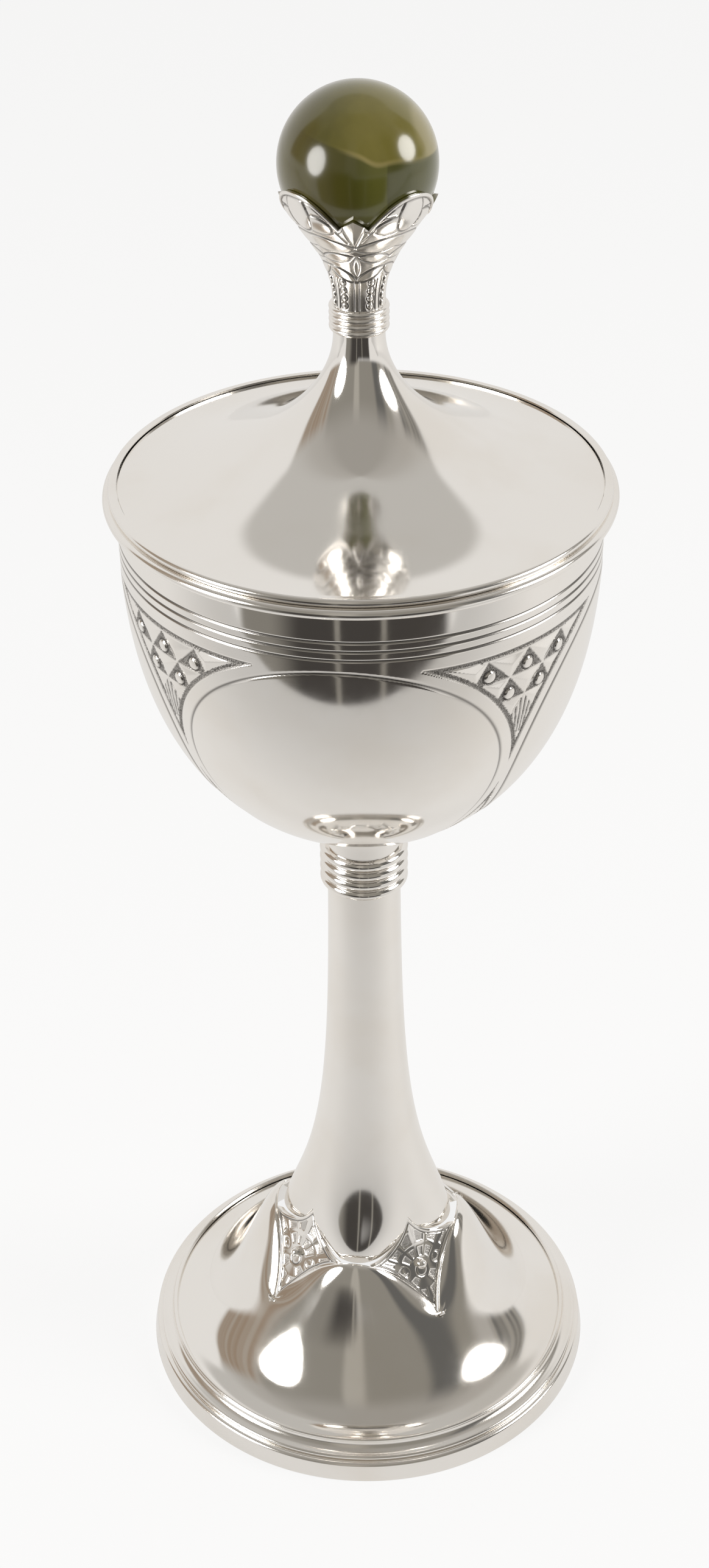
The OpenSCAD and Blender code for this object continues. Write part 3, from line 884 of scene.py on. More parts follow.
@dataclass
class Foot:
    """Outer band, moulded wire, bell-shaped dome, four chased panels and their beads."""

    form: Trumpet
    radius: float = 67.0
    band_h: float = 6.0
    band_t: float = 3.0
    lean: float = 0.8
    band_round: float = 1.2
    step: float = 0.4
    bead_h: float = 1.6
    hollow: tuple[float, float] = (2.9, 2.6)
    lip_r: float = 0.6
    ledge: tuple[float, float] = (1.5, 2.2)
    sheet: float = 1.1
    foot_round: float = 0.3
    flat_run: tuple[float, float] = (18.0, 11.0)
    shoulder_out: tuple[float, float] = (6.0, 6.5)
    shoulder_fall: tuple[float, float] = (3.2, 8.0)
    panel_t: float = 0.9
    panel_sunk: float = 0.55
    panel_reach: float = 0.78
    panel_sag: float = 1.0
    panel_flat: float = 0.5
    flat_range: tuple[float, float] = (-1.4, 1.0)
    flat_rest: float = 0.5
    panel_soft: float = 0.12
    panel_span: tuple[float, float] = (0.01, 0.99)
    outline_slant: float = 0.8
    stud_r: float = 1.6
    stud_place: float = 0.45
    stud_sunk: float = 0.5
    stud_line: float = 0.25
    line_depth: float = 0.12
    line_width: float = 0.22
    window_margin: float = 1.5
    hook_margin: float = 1.3
    window_depth: float = 0.12
    window_wall: float = 0.25
    window_stipple: float = 0.5
    window_lip: float = 0.035
    lip_width: float = 0.2
    rim_rise: float = 0.1
    rim_at: float = 0.55
    rim_width: float = 0.35
    crease_fade: float = 0.4
    seam: float = 0.3
    dome_grid: tuple[int, int] = (320, 96)
    panel_grid: tuple[int, int] = (150, 130)

    @property
    def bead_edge(self) -> float:
        """Radius of the moulding's lower bead."""
        return self.radius - self.lean - self.band_round - self.step

    @property
    def dome_edge(self) -> Array:
        """Radius and height of the dome's lower edge."""
        r = self.bead_edge - self.bead_h / 2 - self.hollow[0] - 2 * self.lip_r - self.seam
        return np.array([r, self.band_h + self.ledge[1] + self.sheet])

    @property
    def panel_ends(self) -> tuple[Array, Array]:
        """Lowest and highest point of a panel's middle line."""
        return self.form.arch(np.float64(1.0)), self.form.tongue_edge(np.float64(1.0))

    @property
    def stud_seat(self) -> Array:
        """Point of a panel's middle line that carries the bead."""
        return self.panel_point(np.float64(1.0), np.asarray(self.stud_place))

    def band(self, shop: Workshop) -> None:
        """Leaning band with a rounded upper edge, turned about the axis.

        Args:
            shop: makes the piece.
        """
        top, edge = self.radius - self.lean, self.foot_round
        profile = joined(
            (self.radius - self.band_t, 0.0), arc((self.radius - edge, edge), edge, -90, 0, 4),
            arc((top - self.band_round, self.band_h - self.band_round), self.band_round, 0, 90),
            (top - self.band_t, self.band_h))
        ring = lathe(profile, satin=WIRE_SATIN)
        shop.piece("foot_band_ring", [ring], Body.GOBLET, "foot_band")

    def moulding(self, shop: Workshop) -> None:
        """Half-round bead, elliptic hollow and small round lip, turned about the axis.

        Args:
            shop: makes the piece.
        """
        bead = self.bead_h / 2
        hollow = (self.bead_edge - bead, self.band_h + self.bead_h + self.hollow[1])
        lip = (hollow[0] - self.hollow[0] - self.lip_r, hollow[1])
        inner = lip[0] - self.lip_r
        profile = joined(
            (inner - self.ledge[0], self.band_h),
            arc((hollow[0], self.band_h + bead), bead, -90, 90),
            arc(hollow, self.hollow, -90, -180), arc(lip, self.lip_r, 0, 180, 10),
            (inner, self.band_h + self.ledge[1]),
            (inner - self.ledge[0], self.band_h + self.ledge[1]))
        wire = lathe(profile, satin=WIRE_SATIN)
        shop.piece("foot_moulding_wire", [wire], Body.GOBLET, "foot_moulding")

    def dome(self, shop: Workshop) -> None:
        """Bell of cubic curves from the edge up to the arch, bulged under the tongues.

        The crease under each panel is sharp at the arch and rounds off towards the edge.

        Args:
            shop: makes the piece.
        """
        columns, rows = self.dome_grid
        azimuth = circle(columns)
        t = np.linspace(1.0, 0.0, rows)[:, None] * np.ones(columns)
        q = self.form.soften(lobe(azimuth), self.crease_fade * ease(1.0, 0.5, t))
        down, top = self.form.fall(q), self.form.arch(q)
        edge = np.broadcast_to(self.dome_edge, top.shape)
        flat = edge - np.stack([mix(*self.flat_run, down), np.zeros_like(down)], -1)
        shoulder = top + np.stack([mix(*self.shoulder_out, down),
                                   -mix(*self.shoulder_fall, down)], -1)
        outer = turned(azimuth, cubic((edge, flat, shoulder, top), t))
        loops = rolled_sheet(outer[:, ::-1], self.sheet)[:, ::-1]
        shop.piece("foot_dome_sheet", [Surface(loops[::-1], True, True)],
                   Body.GOBLET, "foot_dome")

    def panel_point(self, q: Array, s: Array) -> Array:
        """Radius and height of a panel, straight from arch to tongue and hollowed between.

        Args:
            q: share of the way from a tongue's middle to the panel's.
            s: share of the way from the arch up to the tongue.

        Returns:
            Pairs of radius and height.
        """
        between = 4.0 * s * (1.0 - s)
        q = self.form.soften(q, self.panel_soft * between)
        low, high = self.form.arch(q), self.form.tongue_edge(q)
        rise = high - low
        size = np.linalg.norm(rise, axis=-1)
        sag = self.panel_sag * between * size / math.dist(*self.panel_ends)
        out = unit(np.stack([rise[..., 1], -rise[..., 0]], -1))
        return low + rise * s[..., None] - sag[..., None] * out

    def panel_work(self, x: Array, y: Array, inside: Array) -> Relief:
        """Sun wheel of sunk windows round the bead, scroll hooks beside it and bars below.

        Args:
            x: distance from the panel's middle line, without sign.
            y: distance up the slope from the bead.
            inside: distance in from the panel's outline.

        Returns:
            The chased work.
        """
        work = Relief.plain(x.shape)
        reach, angle = np.hypot(x, y), np.degrees(np.arctan2(x, y))
        # Each window: its middle and half width in degrees, its nearest and farthest reach
        windows = (
            (14.5, 7.0, 4.3, 7.0), (42.0, 9.0, 4.4, 7.2), (14.5, 9.0, 8.7, 12.4),
            (44.0, 10.0, 8.8, 12.6), (69.0, 6.0, 9.8, 14.0), (131.0, 17.0, 3.0, 5.6),
            (165.0, 8.0, 6.2, 9.6), (110.0, 9.0, 6.4, 9.0),
        )
        for middle, half, near, far in windows:
            side = reach * np.radians(np.abs(angle - middle) - half)
            edge = self.window_margin - inside
            self.window(work, np.max([side, near - reach, reach - far, edge], axis=0))
        # A hook is an oval less a smaller one
        hook = np.maximum(oval(x - 6.4, y - 1.2, 1.9, 1.7), -oval(x - 5.7, y - 1.7, 1.25, 1.1))
        self.window(work, np.maximum(hook, self.hook_margin - inside))
        work.height += self.rim_rise * np.exp(-((inside - self.rim_at) / self.rim_width) ** 2)
        work.cut(inside - 2 * self.rim_at, self.line_width)
        work.cut(reach - self.stud_r - self.rim_width, self.stud_line)
        return work

    def window(self, work: Relief, shape: Array) -> None:
        """Sinks one window and leaves a fine raised line round it.

        Args:
            work: the chased work so far.
            shape: distance to the window's edge, negative inside.
        """
        lip = (shape - self.lip_width) / self.lip_width
        work.height += self.window_lip * np.exp(-lip ** 2)
        work.sink(shape, self.window_depth, self.window_wall, self.window_stipple)

    def panels(self, shop: Workshop) -> None:
        """Four curved plates whose front carries the chased work and is partly beaten flat.

        Args:
            shop: makes the pieces.
        """
        columns, rows = self.panel_grid
        psi, s = np.meshgrid(np.linspace(-1, 1, columns) * self.panel_reach * EIGHTH,
                             np.linspace(*self.panel_span, rows))
        q = 1.0 - np.abs(psi) / EIGHTH
        rz = self.panel_point(q, s)
        foot, head = self.panel_ends
        up = unit(head - foot)
        out = np.array([up[1], -up[0]])
        size = np.linalg.norm(self.form.tongue_edge(q) - self.form.arch(q), axis=-1)
        x = np.abs(rz[..., 0] * np.radians(psi))
        y = (rz - foot) @ up - self.stud_place * np.linalg.norm(head - foot)
        work = self.panel_work(x, y, self.outline_slant * size * np.minimum(s, 1.0 - s))
        middle = self.stud_seat
        plane = (turned(psi, rz) - [middle[0], 0.0, middle[1]]) @ [out[0], 0.0, out[1]]
        level = self.panel_flat * (np.clip(plane, *self.flat_range) + self.flat_rest)
        lift = work.total(self.line_depth) - self.panel_sunk - level
        front = rz + lift[..., None] * out
        back = rz - (self.panel_sunk + self.panel_t) * out
        marks = {"line": np.concatenate([work.line, 0 * work.line]),
                 "ground": np.concatenate([work.ground, 0 * work.ground])}
        for i in range(1, QUARTERS + 1):
            azimuth = quarter_middle(i) + psi
            loops = np.concatenate([turned(azimuth, front), turned(azimuth, back)[::-1]])
            sides = [np.stack([loops[:rows, c], loops[:rows - 1:-1, c]]) for c in (-1, 0)]
            ends = [Surface(sides[0].transpose(1, 0, 2), False),
                    Surface(sides[1][::-1].transpose(1, 0, 2), False)]
            shop.piece(f"chased_panel_{i}", [Surface(loops, False, True, marks), *ends],
                       Body.GOBLET, f"foot_panel_{i}")

    def beads(self, shop: Workshop) -> None:
        """Domed stud in the middle of each panel, turned about the panel's outward line.

        Args:
            shop: makes the piece.
        """
        foot, head = self.panel_ends
        up, place = unit(head - foot), self.stud_seat
        profile = joined(arc((0.0, 0.0), self.stud_r, 0, 90, 14), closed=False, step=0.3)
        sunk = [[self.stud_r, -self.panel_sunk - self.stud_sunk]]
        dome = lathe(np.concatenate([sunk, profile]), 48, False).points
        studs = []
        for i in range(1, QUARTERS + 1):
            azimuth = quarter_middle(i)
            side, rise = turned(azimuth + 90.0, np.array([1.0, 0.0])), turned(azimuth, up)
            basis = np.stack([side, rise, np.cross(side, rise)])
            studs.append(Surface(turned(azimuth, place) + dome @ basis))
        shop.piece("panel_studs", studs, Body.GOBLET, "panel_beads")

    def build(self, shop: Workshop) -> None:
        """Makes all pieces of the foot."""
        for make in (self.band, self.moulding, self.dome, self.panels, self.beads):
            make(shop)


def reeds(count: int, height: float, radius: float, foot: float) -> Array:
    """Profile of half-round reeds, one over the other, from the foot up.

    Args:
        count: number of reeds.
        height: height of one reed.
        radius: radius over the reeds.
        foot: height of the lowest reed's foot.

    Returns:
        The open profile.
    """
    stack = [arc((radius - height / 2, foot + (i + 0.5) * height), height / 2, -88, 88, 14)
             for i in range(count)]
    return np.concatenate(stack)


@dataclass
class Knop:
    """Reeded collar and hollow neck between stem and bowl."""

    foot: float = 172.0
    count: int = 4
    reed_h: float = 3.2
    radius: float = 12.2
    neck_h: float = 11.6
    waist: float = 2.0
    seat_r: float = 13.0
    bore: float = 6.7

    @property
    def seat(self) -> float:
        """Height of the bowl's seat."""
        return self.foot + self.count * self.reed_h + self.neck_h

    def build(self, shop: Workshop) -> None:
        """Turns reeds and neck; the neck is a cubic drawn in to its waist.

        Args:
            shop: makes the piece.
        """
        low = (self.radius - self.reed_h / 2, self.seat - self.neck_h)
        waist = (self.seat_r - self.waist, self.seat - self.neck_h / 2)
        high = (self.seat_r, self.seat)
        profile = joined(
            (self.bore, self.foot), reeds(self.count, self.reed_h, self.radius, self.foot),
            cubic((low, waist, waist, high), np.linspace(0.02, 1.0, 28)), (self.bore, self.seat))
        shop.piece("reeded_knop", [lathe(profile)], Body.GOBLET, "knop")


@dataclass
class Bowl:
    """Bowl with four bare medallions, chased spandrels between them and lines at the mouth."""

    seat: float
    radius: float = 61.7
    curve_h: float = 95.0
    lip_h: float = 5.0
    base_power: float = 2.6
    side_power: float = 2.08
    wall: float = 1.1
    seat_r: float = 13.0
    rim_w: float = 3.3
    rim_h: float = 2.7
    line_first: float = 10.4
    line_pitch: float = 2.5
    line_count: int = 3
    frieze_top: float = 17.6
    girth: float = 61.0
    medallion: tuple[float, float] = (44.4, 42.0)
    medallion_drop: float = 61.0
    band: float = 3.4
    border: float = 1.25
    frieze_drop: float = 19.3
    work_drop: float = 64.0
    plain_lip: float = 6.0
    ground_depth: float = 0.34
    ground_wall: float = 0.25
    pyramid_slope: float = 0.3
    pyramid_foot: float = -0.22
    pearl_r: float = 1.75
    pearl_h: float = 0.42
    pearl_sunk: float = 0.16
    cell_depth: float = 0.36
    work_wall: float = 0.2
    fan_end: float = -47.0
    fan_bow: float = 0.5
    ray_origin: float = -57.0
    ray_step: float = 4.6
    ray_half: float = 0.24
    ray_pitch: float = 1.6
    medallion_rise: float = 0.14
    medallion_edge: float = 0.35
    line_depth: float = 0.22
    line_width: float = 0.34
    groove: float = 0.3
    groove_mark: float = 0.36
    turn: float = 2.1
    wider: float = 2.2
    seam: float = 0.1
    quarter_grid: tuple[int, int, int] = (301, 65, 150)
    lip_rows: int = 150
    hollow_rows: int = 90

    @property
    def base(self) -> float:
        """Height of the curve's lowest point, which the flat seat cuts off."""
        drawn = 1.0 - (self.seat_r / self.radius) ** self.side_power
        return self.seat - self.curve_h * (1.0 - drawn ** (1.0 / self.base_power))

    @property
    def mouth(self) -> float:
        """Height of the mouth."""
        return self.base + self.curve_h + self.lip_h

    def bulge(self, z: Array, radius: float, low: float) -> Array:
        """Radius at a height: a superellipse from a lowest point up to an upright lip.

        Args:
            z: height.
            radius: radius at the lip.
            low: height of the lowest point.

        Returns:
            The radius.
        """
        top = self.base + self.curve_h
        share = np.clip((top - z) / (top - low), 0.0, 1.0)
        return radius * (1.0 - share ** self.base_power) ** (1.0 / self.side_power)

    def outer(self, z: Array) -> Array:
        """Outer radius at a height."""
        return self.bulge(z, self.radius, self.base)

    def hollow(self, z: Array) -> Array:
        """Inner radius at a height, over a floor one wall above the seat."""
        return self.bulge(z, self.radius - self.wall, self.seat + self.wall)

    def spandrel(self, s: Array, z: Array) -> Relief:
        """Chased work between two medallions.

        A stippled border follows both medallions and the top. In it stand rows of stippled
        triangles with pearls, hipped pyramids between them, wings to both sides and a fan below.

        Args:
            s: distance along the girth from the spandrel's middle, positive to the wide medallion.
            z: height under the mouth, negative downwards.

        Returns:
            The chased work.
        """
        work = Relief.plain(s.shape)
        a = np.abs(s)
        half = self.girth * math.pi / 4.0
        grow = self.girth * math.radians(self.wider) * np.sign(s)
        disc = oval(half + grow - a, z + self.medallion_drop,
                    self.medallion[0] + grow, self.medallion[1])
        inside = np.minimum(disc - self.band, -self.frieze_drop - z)
        field_edge = self.border - inside
        work.height = self.medallion_rise * ease(self.medallion_edge, -self.medallion_edge, disc)
        work.cut(disc, self.line_width)
        # Corners are distances from the middle and heights under the mouth, on these rows
        row_1, row_2, top = -27.6, -34.6, -20.8
        pyramids = (
            ((0.0, top), (5.4, row_1), (12.3, top)), ((-5.5, row_1), (0.0, row_2), (5.5, row_1)),
            ((5.5, row_1), (9.6, row_2), (16.3, row_1)), ((0.0, row_2), (4.6, -41.2), (9.6, row_2)),
            ((16.3, row_1), (30.0, -20.0), (12.3, top)),
        )
        cells = (
            ((-5.3, row_1), (5.3, row_1), (0.0, top)), ((5.5, row_1), (16.3, row_1), (12.3, top)),
            ((0.0, row_2), (9.6, row_2), (5.5, row_1)),
        )
        pearls = ((0.0, -25.4), (11.7, -25.5), (5.2, -32.6))
        work.sink(-inside, self.ground_depth, self.ground_wall)
        work.level(field_edge < 0, 0.0)
        for corners in pyramids:
            shape = np.maximum(polygon(a, z, corners), field_edge)
            work.level(shape < 0, self.pyramid_foot - self.pyramid_slope * shape)
        for corners in cells:
            shape = np.maximum(polygon(a, z, corners), field_edge)
            work.sink(shape, self.cell_depth, self.work_wall)
        for cx, cz in pearls:
            pearl = oval(a - cx, z - cz, self.pearl_r, self.pearl_r)
            crown = np.sqrt(np.clip(1 - (1 + pearl / self.pearl_r) ** 2, 0, 1))
            work.level(pearl < 0, self.pearl_h * crown - self.pearl_sunk)
            work.cut(pearl, self.work_wall)
        # Rays of the fan spread from a point under it
        fan = np.max([polygon(a, z, ((-4.6, -41.2), (0.0, -60.0), (4.6, -41.2), (0.0, row_2))),
                      field_edge, self.fan_end - z + self.fan_bow * a], axis=0)
        spread = np.degrees(np.arctan2(a, z - self.ray_origin)) / self.ray_step
        ray = (self.ray_half - np.abs((spread + 0.5) % 1.0 - 0.5)) * self.ray_pitch
        work.sink(np.maximum(fan, ray), self.ground_depth, self.work_wall)
        return work

    def quarter(self, number: int, shop: Workshop) -> None:
        """Quarter of the outer wall, spandrel in the middle, from the seat to the mouth lines.

        One more row and column on each side give normals that carry on over the joints.

        Args:
            number: which quarter, from 1.
            shop: makes the piece.
        """
        columns, plain_rows, work_rows = self.quarter_grid
        low, knee, high = self.seat, self.mouth - self.work_drop, self.mouth - self.frieze_top
        z = one_more(np.concatenate([np.linspace(low, knee, plain_rows, endpoint=False),
                                     np.linspace(knee, high, work_rows)]))
        way = 1.0 if number % 2 else -1.0
        shift = -way * self.wider
        ends = (-EIGHTH - shift, EIGHTH - shift)
        turn, z = np.broadcast_arrays(one_more(np.linspace(*ends, columns)), z[:, None])
        within = np.clip(turn, *ends)
        work = self.spandrel(self.girth * np.radians(2 * within - turn) * way, z - self.mouth)
        r = self.outer(z)
        slope = np.gradient(r, axis=0) / np.gradient(z, axis=0)
        out = unit(np.stack([np.ones_like(r), -slope], -1))
        rz = np.stack([r, z], -1) + work.total(self.line_depth)[..., None] * out
        points = turned(turn + shift + quarter_middle(number) + self.turn, rz)
        inner = (slice(1, -1), slice(1, -1))
        marks = {"line": work.line[inner], "ground": work.ground[inner]}
        wall = Surface(points[inner], False, False, marks, grid_normals(points)[inner])
        shop.piece(f"bowl_wall_{number}", [wall], Body.GOBLET, "bowl")

    def lip(self, shop: Workshop) -> None:
        """Mouth with its turned lines and the hollow inside, turned about the axis.

        Args:
            shop: makes the piece.
        """
        z = np.linspace(self.mouth - self.frieze_top, self.mouth - self.plain_lip, self.lip_rows)
        r = self.outer(z)
        line = np.zeros_like(z)
        for i in range(self.line_count):
            gap = z - self.mouth + self.line_first + i * self.line_pitch
            line = np.maximum(line, np.exp(-(gap / self.groove_mark) ** 4))
            r = r - self.groove * np.exp(-(gap / self.groove) ** 2)
        floor = np.linspace(0.0, 1.0, self.hollow_rows)[::-1] ** 2
        deep = mix(self.seat + self.wall, self.base + self.curve_h, floor)
        start = self.mouth - self.plain_lip + self.seam
        upper = joined((self.outer(start), start), (self.radius, self.mouth),
                       (self.radius - self.wall, self.mouth), closed=False)
        profile = np.concatenate([np.stack([r, z], -1), upper,
                                  np.stack([self.hollow(deep), deep], -1)])
        profile[-1, 0] = 0.0
        marks = np.zeros((len(profile), FINE_COLUMNS))
        marks[:len(line)] = line[:, None]
        turned_lip = lathe(profile, FINE_COLUMNS, False)
        turned_lip.marks = {"line": marks}
        shop.piece("bowl_lip", [turned_lip], Body.GOBLET, "bowl")

    def rim(self, shop: Workshop) -> None:
        """Half-round wire round the mouth.

        Args:
            shop: makes the piece.
        """
        profile = half_round(self.radius + self.seam, self.radius + self.rim_w,
                             self.mouth - self.rim_h, self.rim_h)
        wire = lathe(profile, FINE_COLUMNS, satin=WIRE_SATIN)
        shop.piece("mouth_wire", [wire], Body.GOBLET, "bowl_rim")

    def build(self, shop: Workshop) -> None:
        """Makes all pieces of the bowl.

        Args:
            shop: makes the pieces.
        """
        for number in range(1, QUARTERS + 1):
            self.quarter(number, shop)
        for make in (self.lip, self.rim):
            make(shop)


@dataclass
class Lid:
    """Dished cover sheet with a trumpet centre, its edge wire and the bezel under it."""

    mouth: float
    rim_r: float = 65.0
    inset: float = 1.4
    edge_w: float = 2.3
    edge_h: float = 2.2
    drop: float = 0.7
    wall: float = 1.0
    rise: float = 39.5
    cone: float = 7.0
    swell: float = 0.6
    swell_at: float = 26.0
    swell_len: float = 11.0
    neck_r: float = 6.4
    cap_t: float = 1.2
    bore: float = 2.3
    bezel_r: float = 60.2
    bezel_t: float = 1.0
    bezel_h: float = 7.5
    bezel_round: float = 0.3
    seam: float = 0.3
    columns: int = 240

    @property
    def radius(self) -> float:
        """Radius over the edge wire."""
        return self.rim_r - self.inset

    @property
    def neck(self) -> float:
        """Height of the neck's top."""
        return self.mouth + self.edge_h - self.drop + self.rise

    @property
    def top(self) -> float:
        """Height of the plate that carries the finial."""
        return self.neck + self.cap_t

    def curve(self, wall: float, steps: int = 120) -> Array:
        """Quarter of an ellipse on top of an even slope, upright at the neck, less a wall.

        A low swell, swell exp(-((d - at) / length)^2) with d in from the edge, fills its middle.

        Args:
            wall: offset from the outer face.
            steps: steps along the curve.

        Returns:
            The profile from the neck to the edge.
        """
        sheet = self.radius - self.edge_w - self.seam
        span = sheet - self.neck_r + wall
        line = arc((sheet, self.neck), (span, self.rise - self.cone + wall), 180, 270, steps)
        d = sheet - line[:, 0]
        line[:, 1] += self.swell * np.exp(-((d - self.swell_at) / self.swell_len) ** 2)
        line[:, 1] -= self.cone * (1.0 - d / span)
        return line

    def build(self, shop: Workshop) -> None:
        """Turns sheet, wire and bezel.

        Args:
            shop: makes the pieces.
        """
        profile = joined((self.bore, self.neck), self.curve(self.wall), self.curve(0.0)[::-1],
                         (self.neck_r, self.top), (self.bore, self.top))
        shop.piece("lid_sheet", [lathe(profile, self.columns)], Body.LID, "lid")
        wire = half_round(self.radius - self.edge_w, self.radius, self.mouth, self.edge_h)
        shop.piece("lid_wire", [lathe(wire, FINE_COLUMNS, satin=WIRE_SATIN)], Body.LID, "lid_edge")
        high = self.mouth + self.edge_h - self.drop - self.wall - self.seam
        low, inner, edge = self.mouth - self.bezel_h, self.bezel_r - self.bezel_t, self.bezel_round
        ring = joined((inner, low), arc((self.bezel_r - edge, low + edge), edge, -90, 0, 4),
                      (self.bezel_r, high), (inner, high))
        shop.piece("lid_bezel_ring", [lathe(ring)], Body.LID, "lid_bezel")


@dataclass
class Finial:
    """Reeded collar, chased calyx of four petals and the stone ball that it holds."""

    foot: float
    collar_count: int = 4
    collar_h: float = 1.65
    collar_r: float = 7.4
    bore: float = 2.3
    calyx_r: float = 6.5
    calyx_t: float = 0.7
    grip: float = 34.0
    waist: float = 0.5
    neck_pull: float = 9.7
    cup_pull: float = 9.0
    petal_tip: float = 2.2
    petal_fall: float = 14.6
    petal_power: float = 2.2
    leaf_tip: float = 5.0
    leaf_fall: float = 10.0
    ball_r: float = 19.05
    ball_gap: float = 0.25
    ball_rise: float = 34.7
    line_depth: float = 0.2
    line_width: float = 0.21
    blade_half: float = 3.1
    blade_ridge: float = 0.26
    ridge_fall: float = 0.1
    blade_edge: float = 0.8
    rim_width: float = 1.05
    rim_rise: float = 0.3
    rim_middle: float = 0.5
    rim_half: float = 0.56
    rib_line: float = 0.15
    pearl: tuple[float, float] = (0.86, 0.94)
    pearl_swell: float = 0.8
    pearl_rise: float = 0.36
    pearl_line: float = 0.17
    foot_fade: float = 0.4
    turn: float = 4.3
    spine_end: float = 5.0
    spine_steps: tuple[int, int] = (400, 300)
    calyx_grid: tuple[int, int, int] = (512, 150, 24)

    @property
    def calyx_z(self) -> float:
        """Height of the calyx's foot."""
        return self.foot + self.collar_count * self.collar_h

    @property
    def ball_z(self) -> float:
        """Height of the ball's middle."""
        return self.calyx_z + self.ball_rise

    @property
    def cup(self) -> float:
        """Outer radius of the petals where they follow the ball."""
        return self.ball_r + self.ball_gap + self.calyx_t

    def calyx_edge(self, q: Array) -> Array:
        """Height of the calyx's edge: broad petals with a small pointed leaf in each valley."""
        petal = self.petal_fall * (1.0 - q) ** self.petal_power
        return self.ball_z - self.petal_tip - np.minimum(petal, self.leaf_tip + self.leaf_fall * q)

    def spine(self) -> Array:
        """Outer profile of the calyx: a cubic neck that runs into the ball's own curve.

        Returns:
            The profile from the foot up.
        """
        a = math.radians(self.grip)
        grip = np.array([self.cup * math.cos(a), self.ball_z - self.cup * math.sin(a)])
        pulled = grip - self.cup_pull * np.array([math.sin(a), math.cos(a)])
        neck = cubic(((self.calyx_r, self.calyx_z),
                      (self.calyx_r - self.waist, self.calyx_z + self.neck_pull), pulled, grip),
                     np.linspace(0.0, 1.0, self.spine_steps[0]))
        cup = arc((0.0, self.ball_z), self.cup, -self.grip, self.spine_end, self.spine_steps[1])
        return np.concatenate([neck, cup[1:]])

    def calyx_work(self, azimuth: Array, v: Array, r: Array, below: Array) -> Relief:
        """Palmette petals, leaves in the valleys, darts, ribs and pearls.

        Args:
            azimuth: angle from the nearest valley in degrees, 0 to 45.
            v: length along the profile from the calyx's foot.
            r: radius at that length.
            below: distance under the calyx's edge.

        Returns:
            The chased work.
        """
        work, line = Relief.plain(v.shape), self.line_width
        spine = self.spine()
        run = run_length(spine)

        def up(z: float) -> float:
            """Length along the profile at a height measured from the calyx's foot."""
            return float(np.interp(self.calyx_z + z, spine[:, 1], run))

        def girth(z: float) -> float:
            """Radius at a height measured from the calyx's foot."""
            return float(np.interp(self.calyx_z + z, spine[:, 1], spine[:, 0]))

        def near(angle: float, z: float) -> tuple[Array, Array]:
            """Coordinates about a point of the calyx."""
            return r * np.radians(azimuth - angle), v - up(z)

        # Two low leaves and a broad one to each side: both tips, half width, swell and rise
        for low, high, width, swell, rise in (
                ((46.0, 12.3), (1.5, 8.2), 1.55, 1.3, 0.13),
                ((48.0, 14.6), (0.5, 16.0), 1.6, 1.4, 0.14),
                ((62.0, 20.2), (0.0, 18.6), 2.7, 2.2, 0.18)):
            tip = (girth((low[1] + high[1]) / 2) * math.radians(high[0] - low[0]),
                   up(high[1]) - up(low[1]))
            work.boss(leaf(*near(*low), (0.0, 0.0), tip, width), swell, rise, line)
        # Dart in the valley
        at = 12.5
        dart = leaf(*near(0.0, at), (0.0, up(9.4) - up(at)), (0.0, up(15.6) - up(at)), 0.85)
        work.boss(dart, 0.8, 0.18, line)
        # Lying oval beside the petal's tall one
        x, y = near(30.0, 25.1)
        work.boss(oval(x * 0.97 + y * 0.24, y * 0.97 - x * 0.24, 4.1, 2.75), 1.8, 0.2, line)
        work.boss(oval(*near(EIGHTH, 27.6), 3.5, 5.7), 2.0, 0.2, line)
        # Two strokes that part the ovals
        at = 24.0
        for angle, *ends in ((24.0, (31.0, 28.0), (18.0, 27.6)), (10.0, (15.5, 24.0), (6.0, 20.6))):
            ends = [(girth(z) * math.radians(p - angle), up(z) - up(at)) for p, z in ends]
            work.cut(stroke(*near(angle, at), *ends), line)
        # Ridged blade that fills the valley up to its pointed leaf
        at = 18.8
        x, y = near(0.0, at)
        tip, wing = up(28.8) - up(at), up(26.4) - up(at)
        blade = polygon(x, y, ((0.0, 0.0), (self.blade_half, wing), (0.0, tip),
                               (-self.blade_half, wing)))
        ridge = self.blade_ridge - self.ridge_fall * np.abs(x)
        work.swell(blade < 0, np.minimum(ridge, -blade * self.blade_edge))
        work.cut(blade, line)
        # Round rim along the petals' edge
        rim, petal = below - self.rim_width, blade > 0.3
        round_off = ((below - self.rim_middle) / self.rim_half) ** 2
        bead = self.rim_rise * np.sqrt(np.clip(1 - round_off, 0, 1))
        work.swell((rim < 0) & petal, bead)
        work.cut(np.where(petal, rim, np.inf), line)
        # Ribs and pearls of the neck
        for angle in (5.5, 39.5):
            x, y = near(angle, 8.4)
            work.cut(np.hypot(x, np.maximum(y, 0.0)), self.rib_line)
        for z in (1.35, 3.35, 5.45, 7.6):
            pearl = oval(*near(28.0, z), *self.pearl)
            work.boss(pearl, self.pearl_swell, self.pearl_rise, self.pearl_line)
        return work

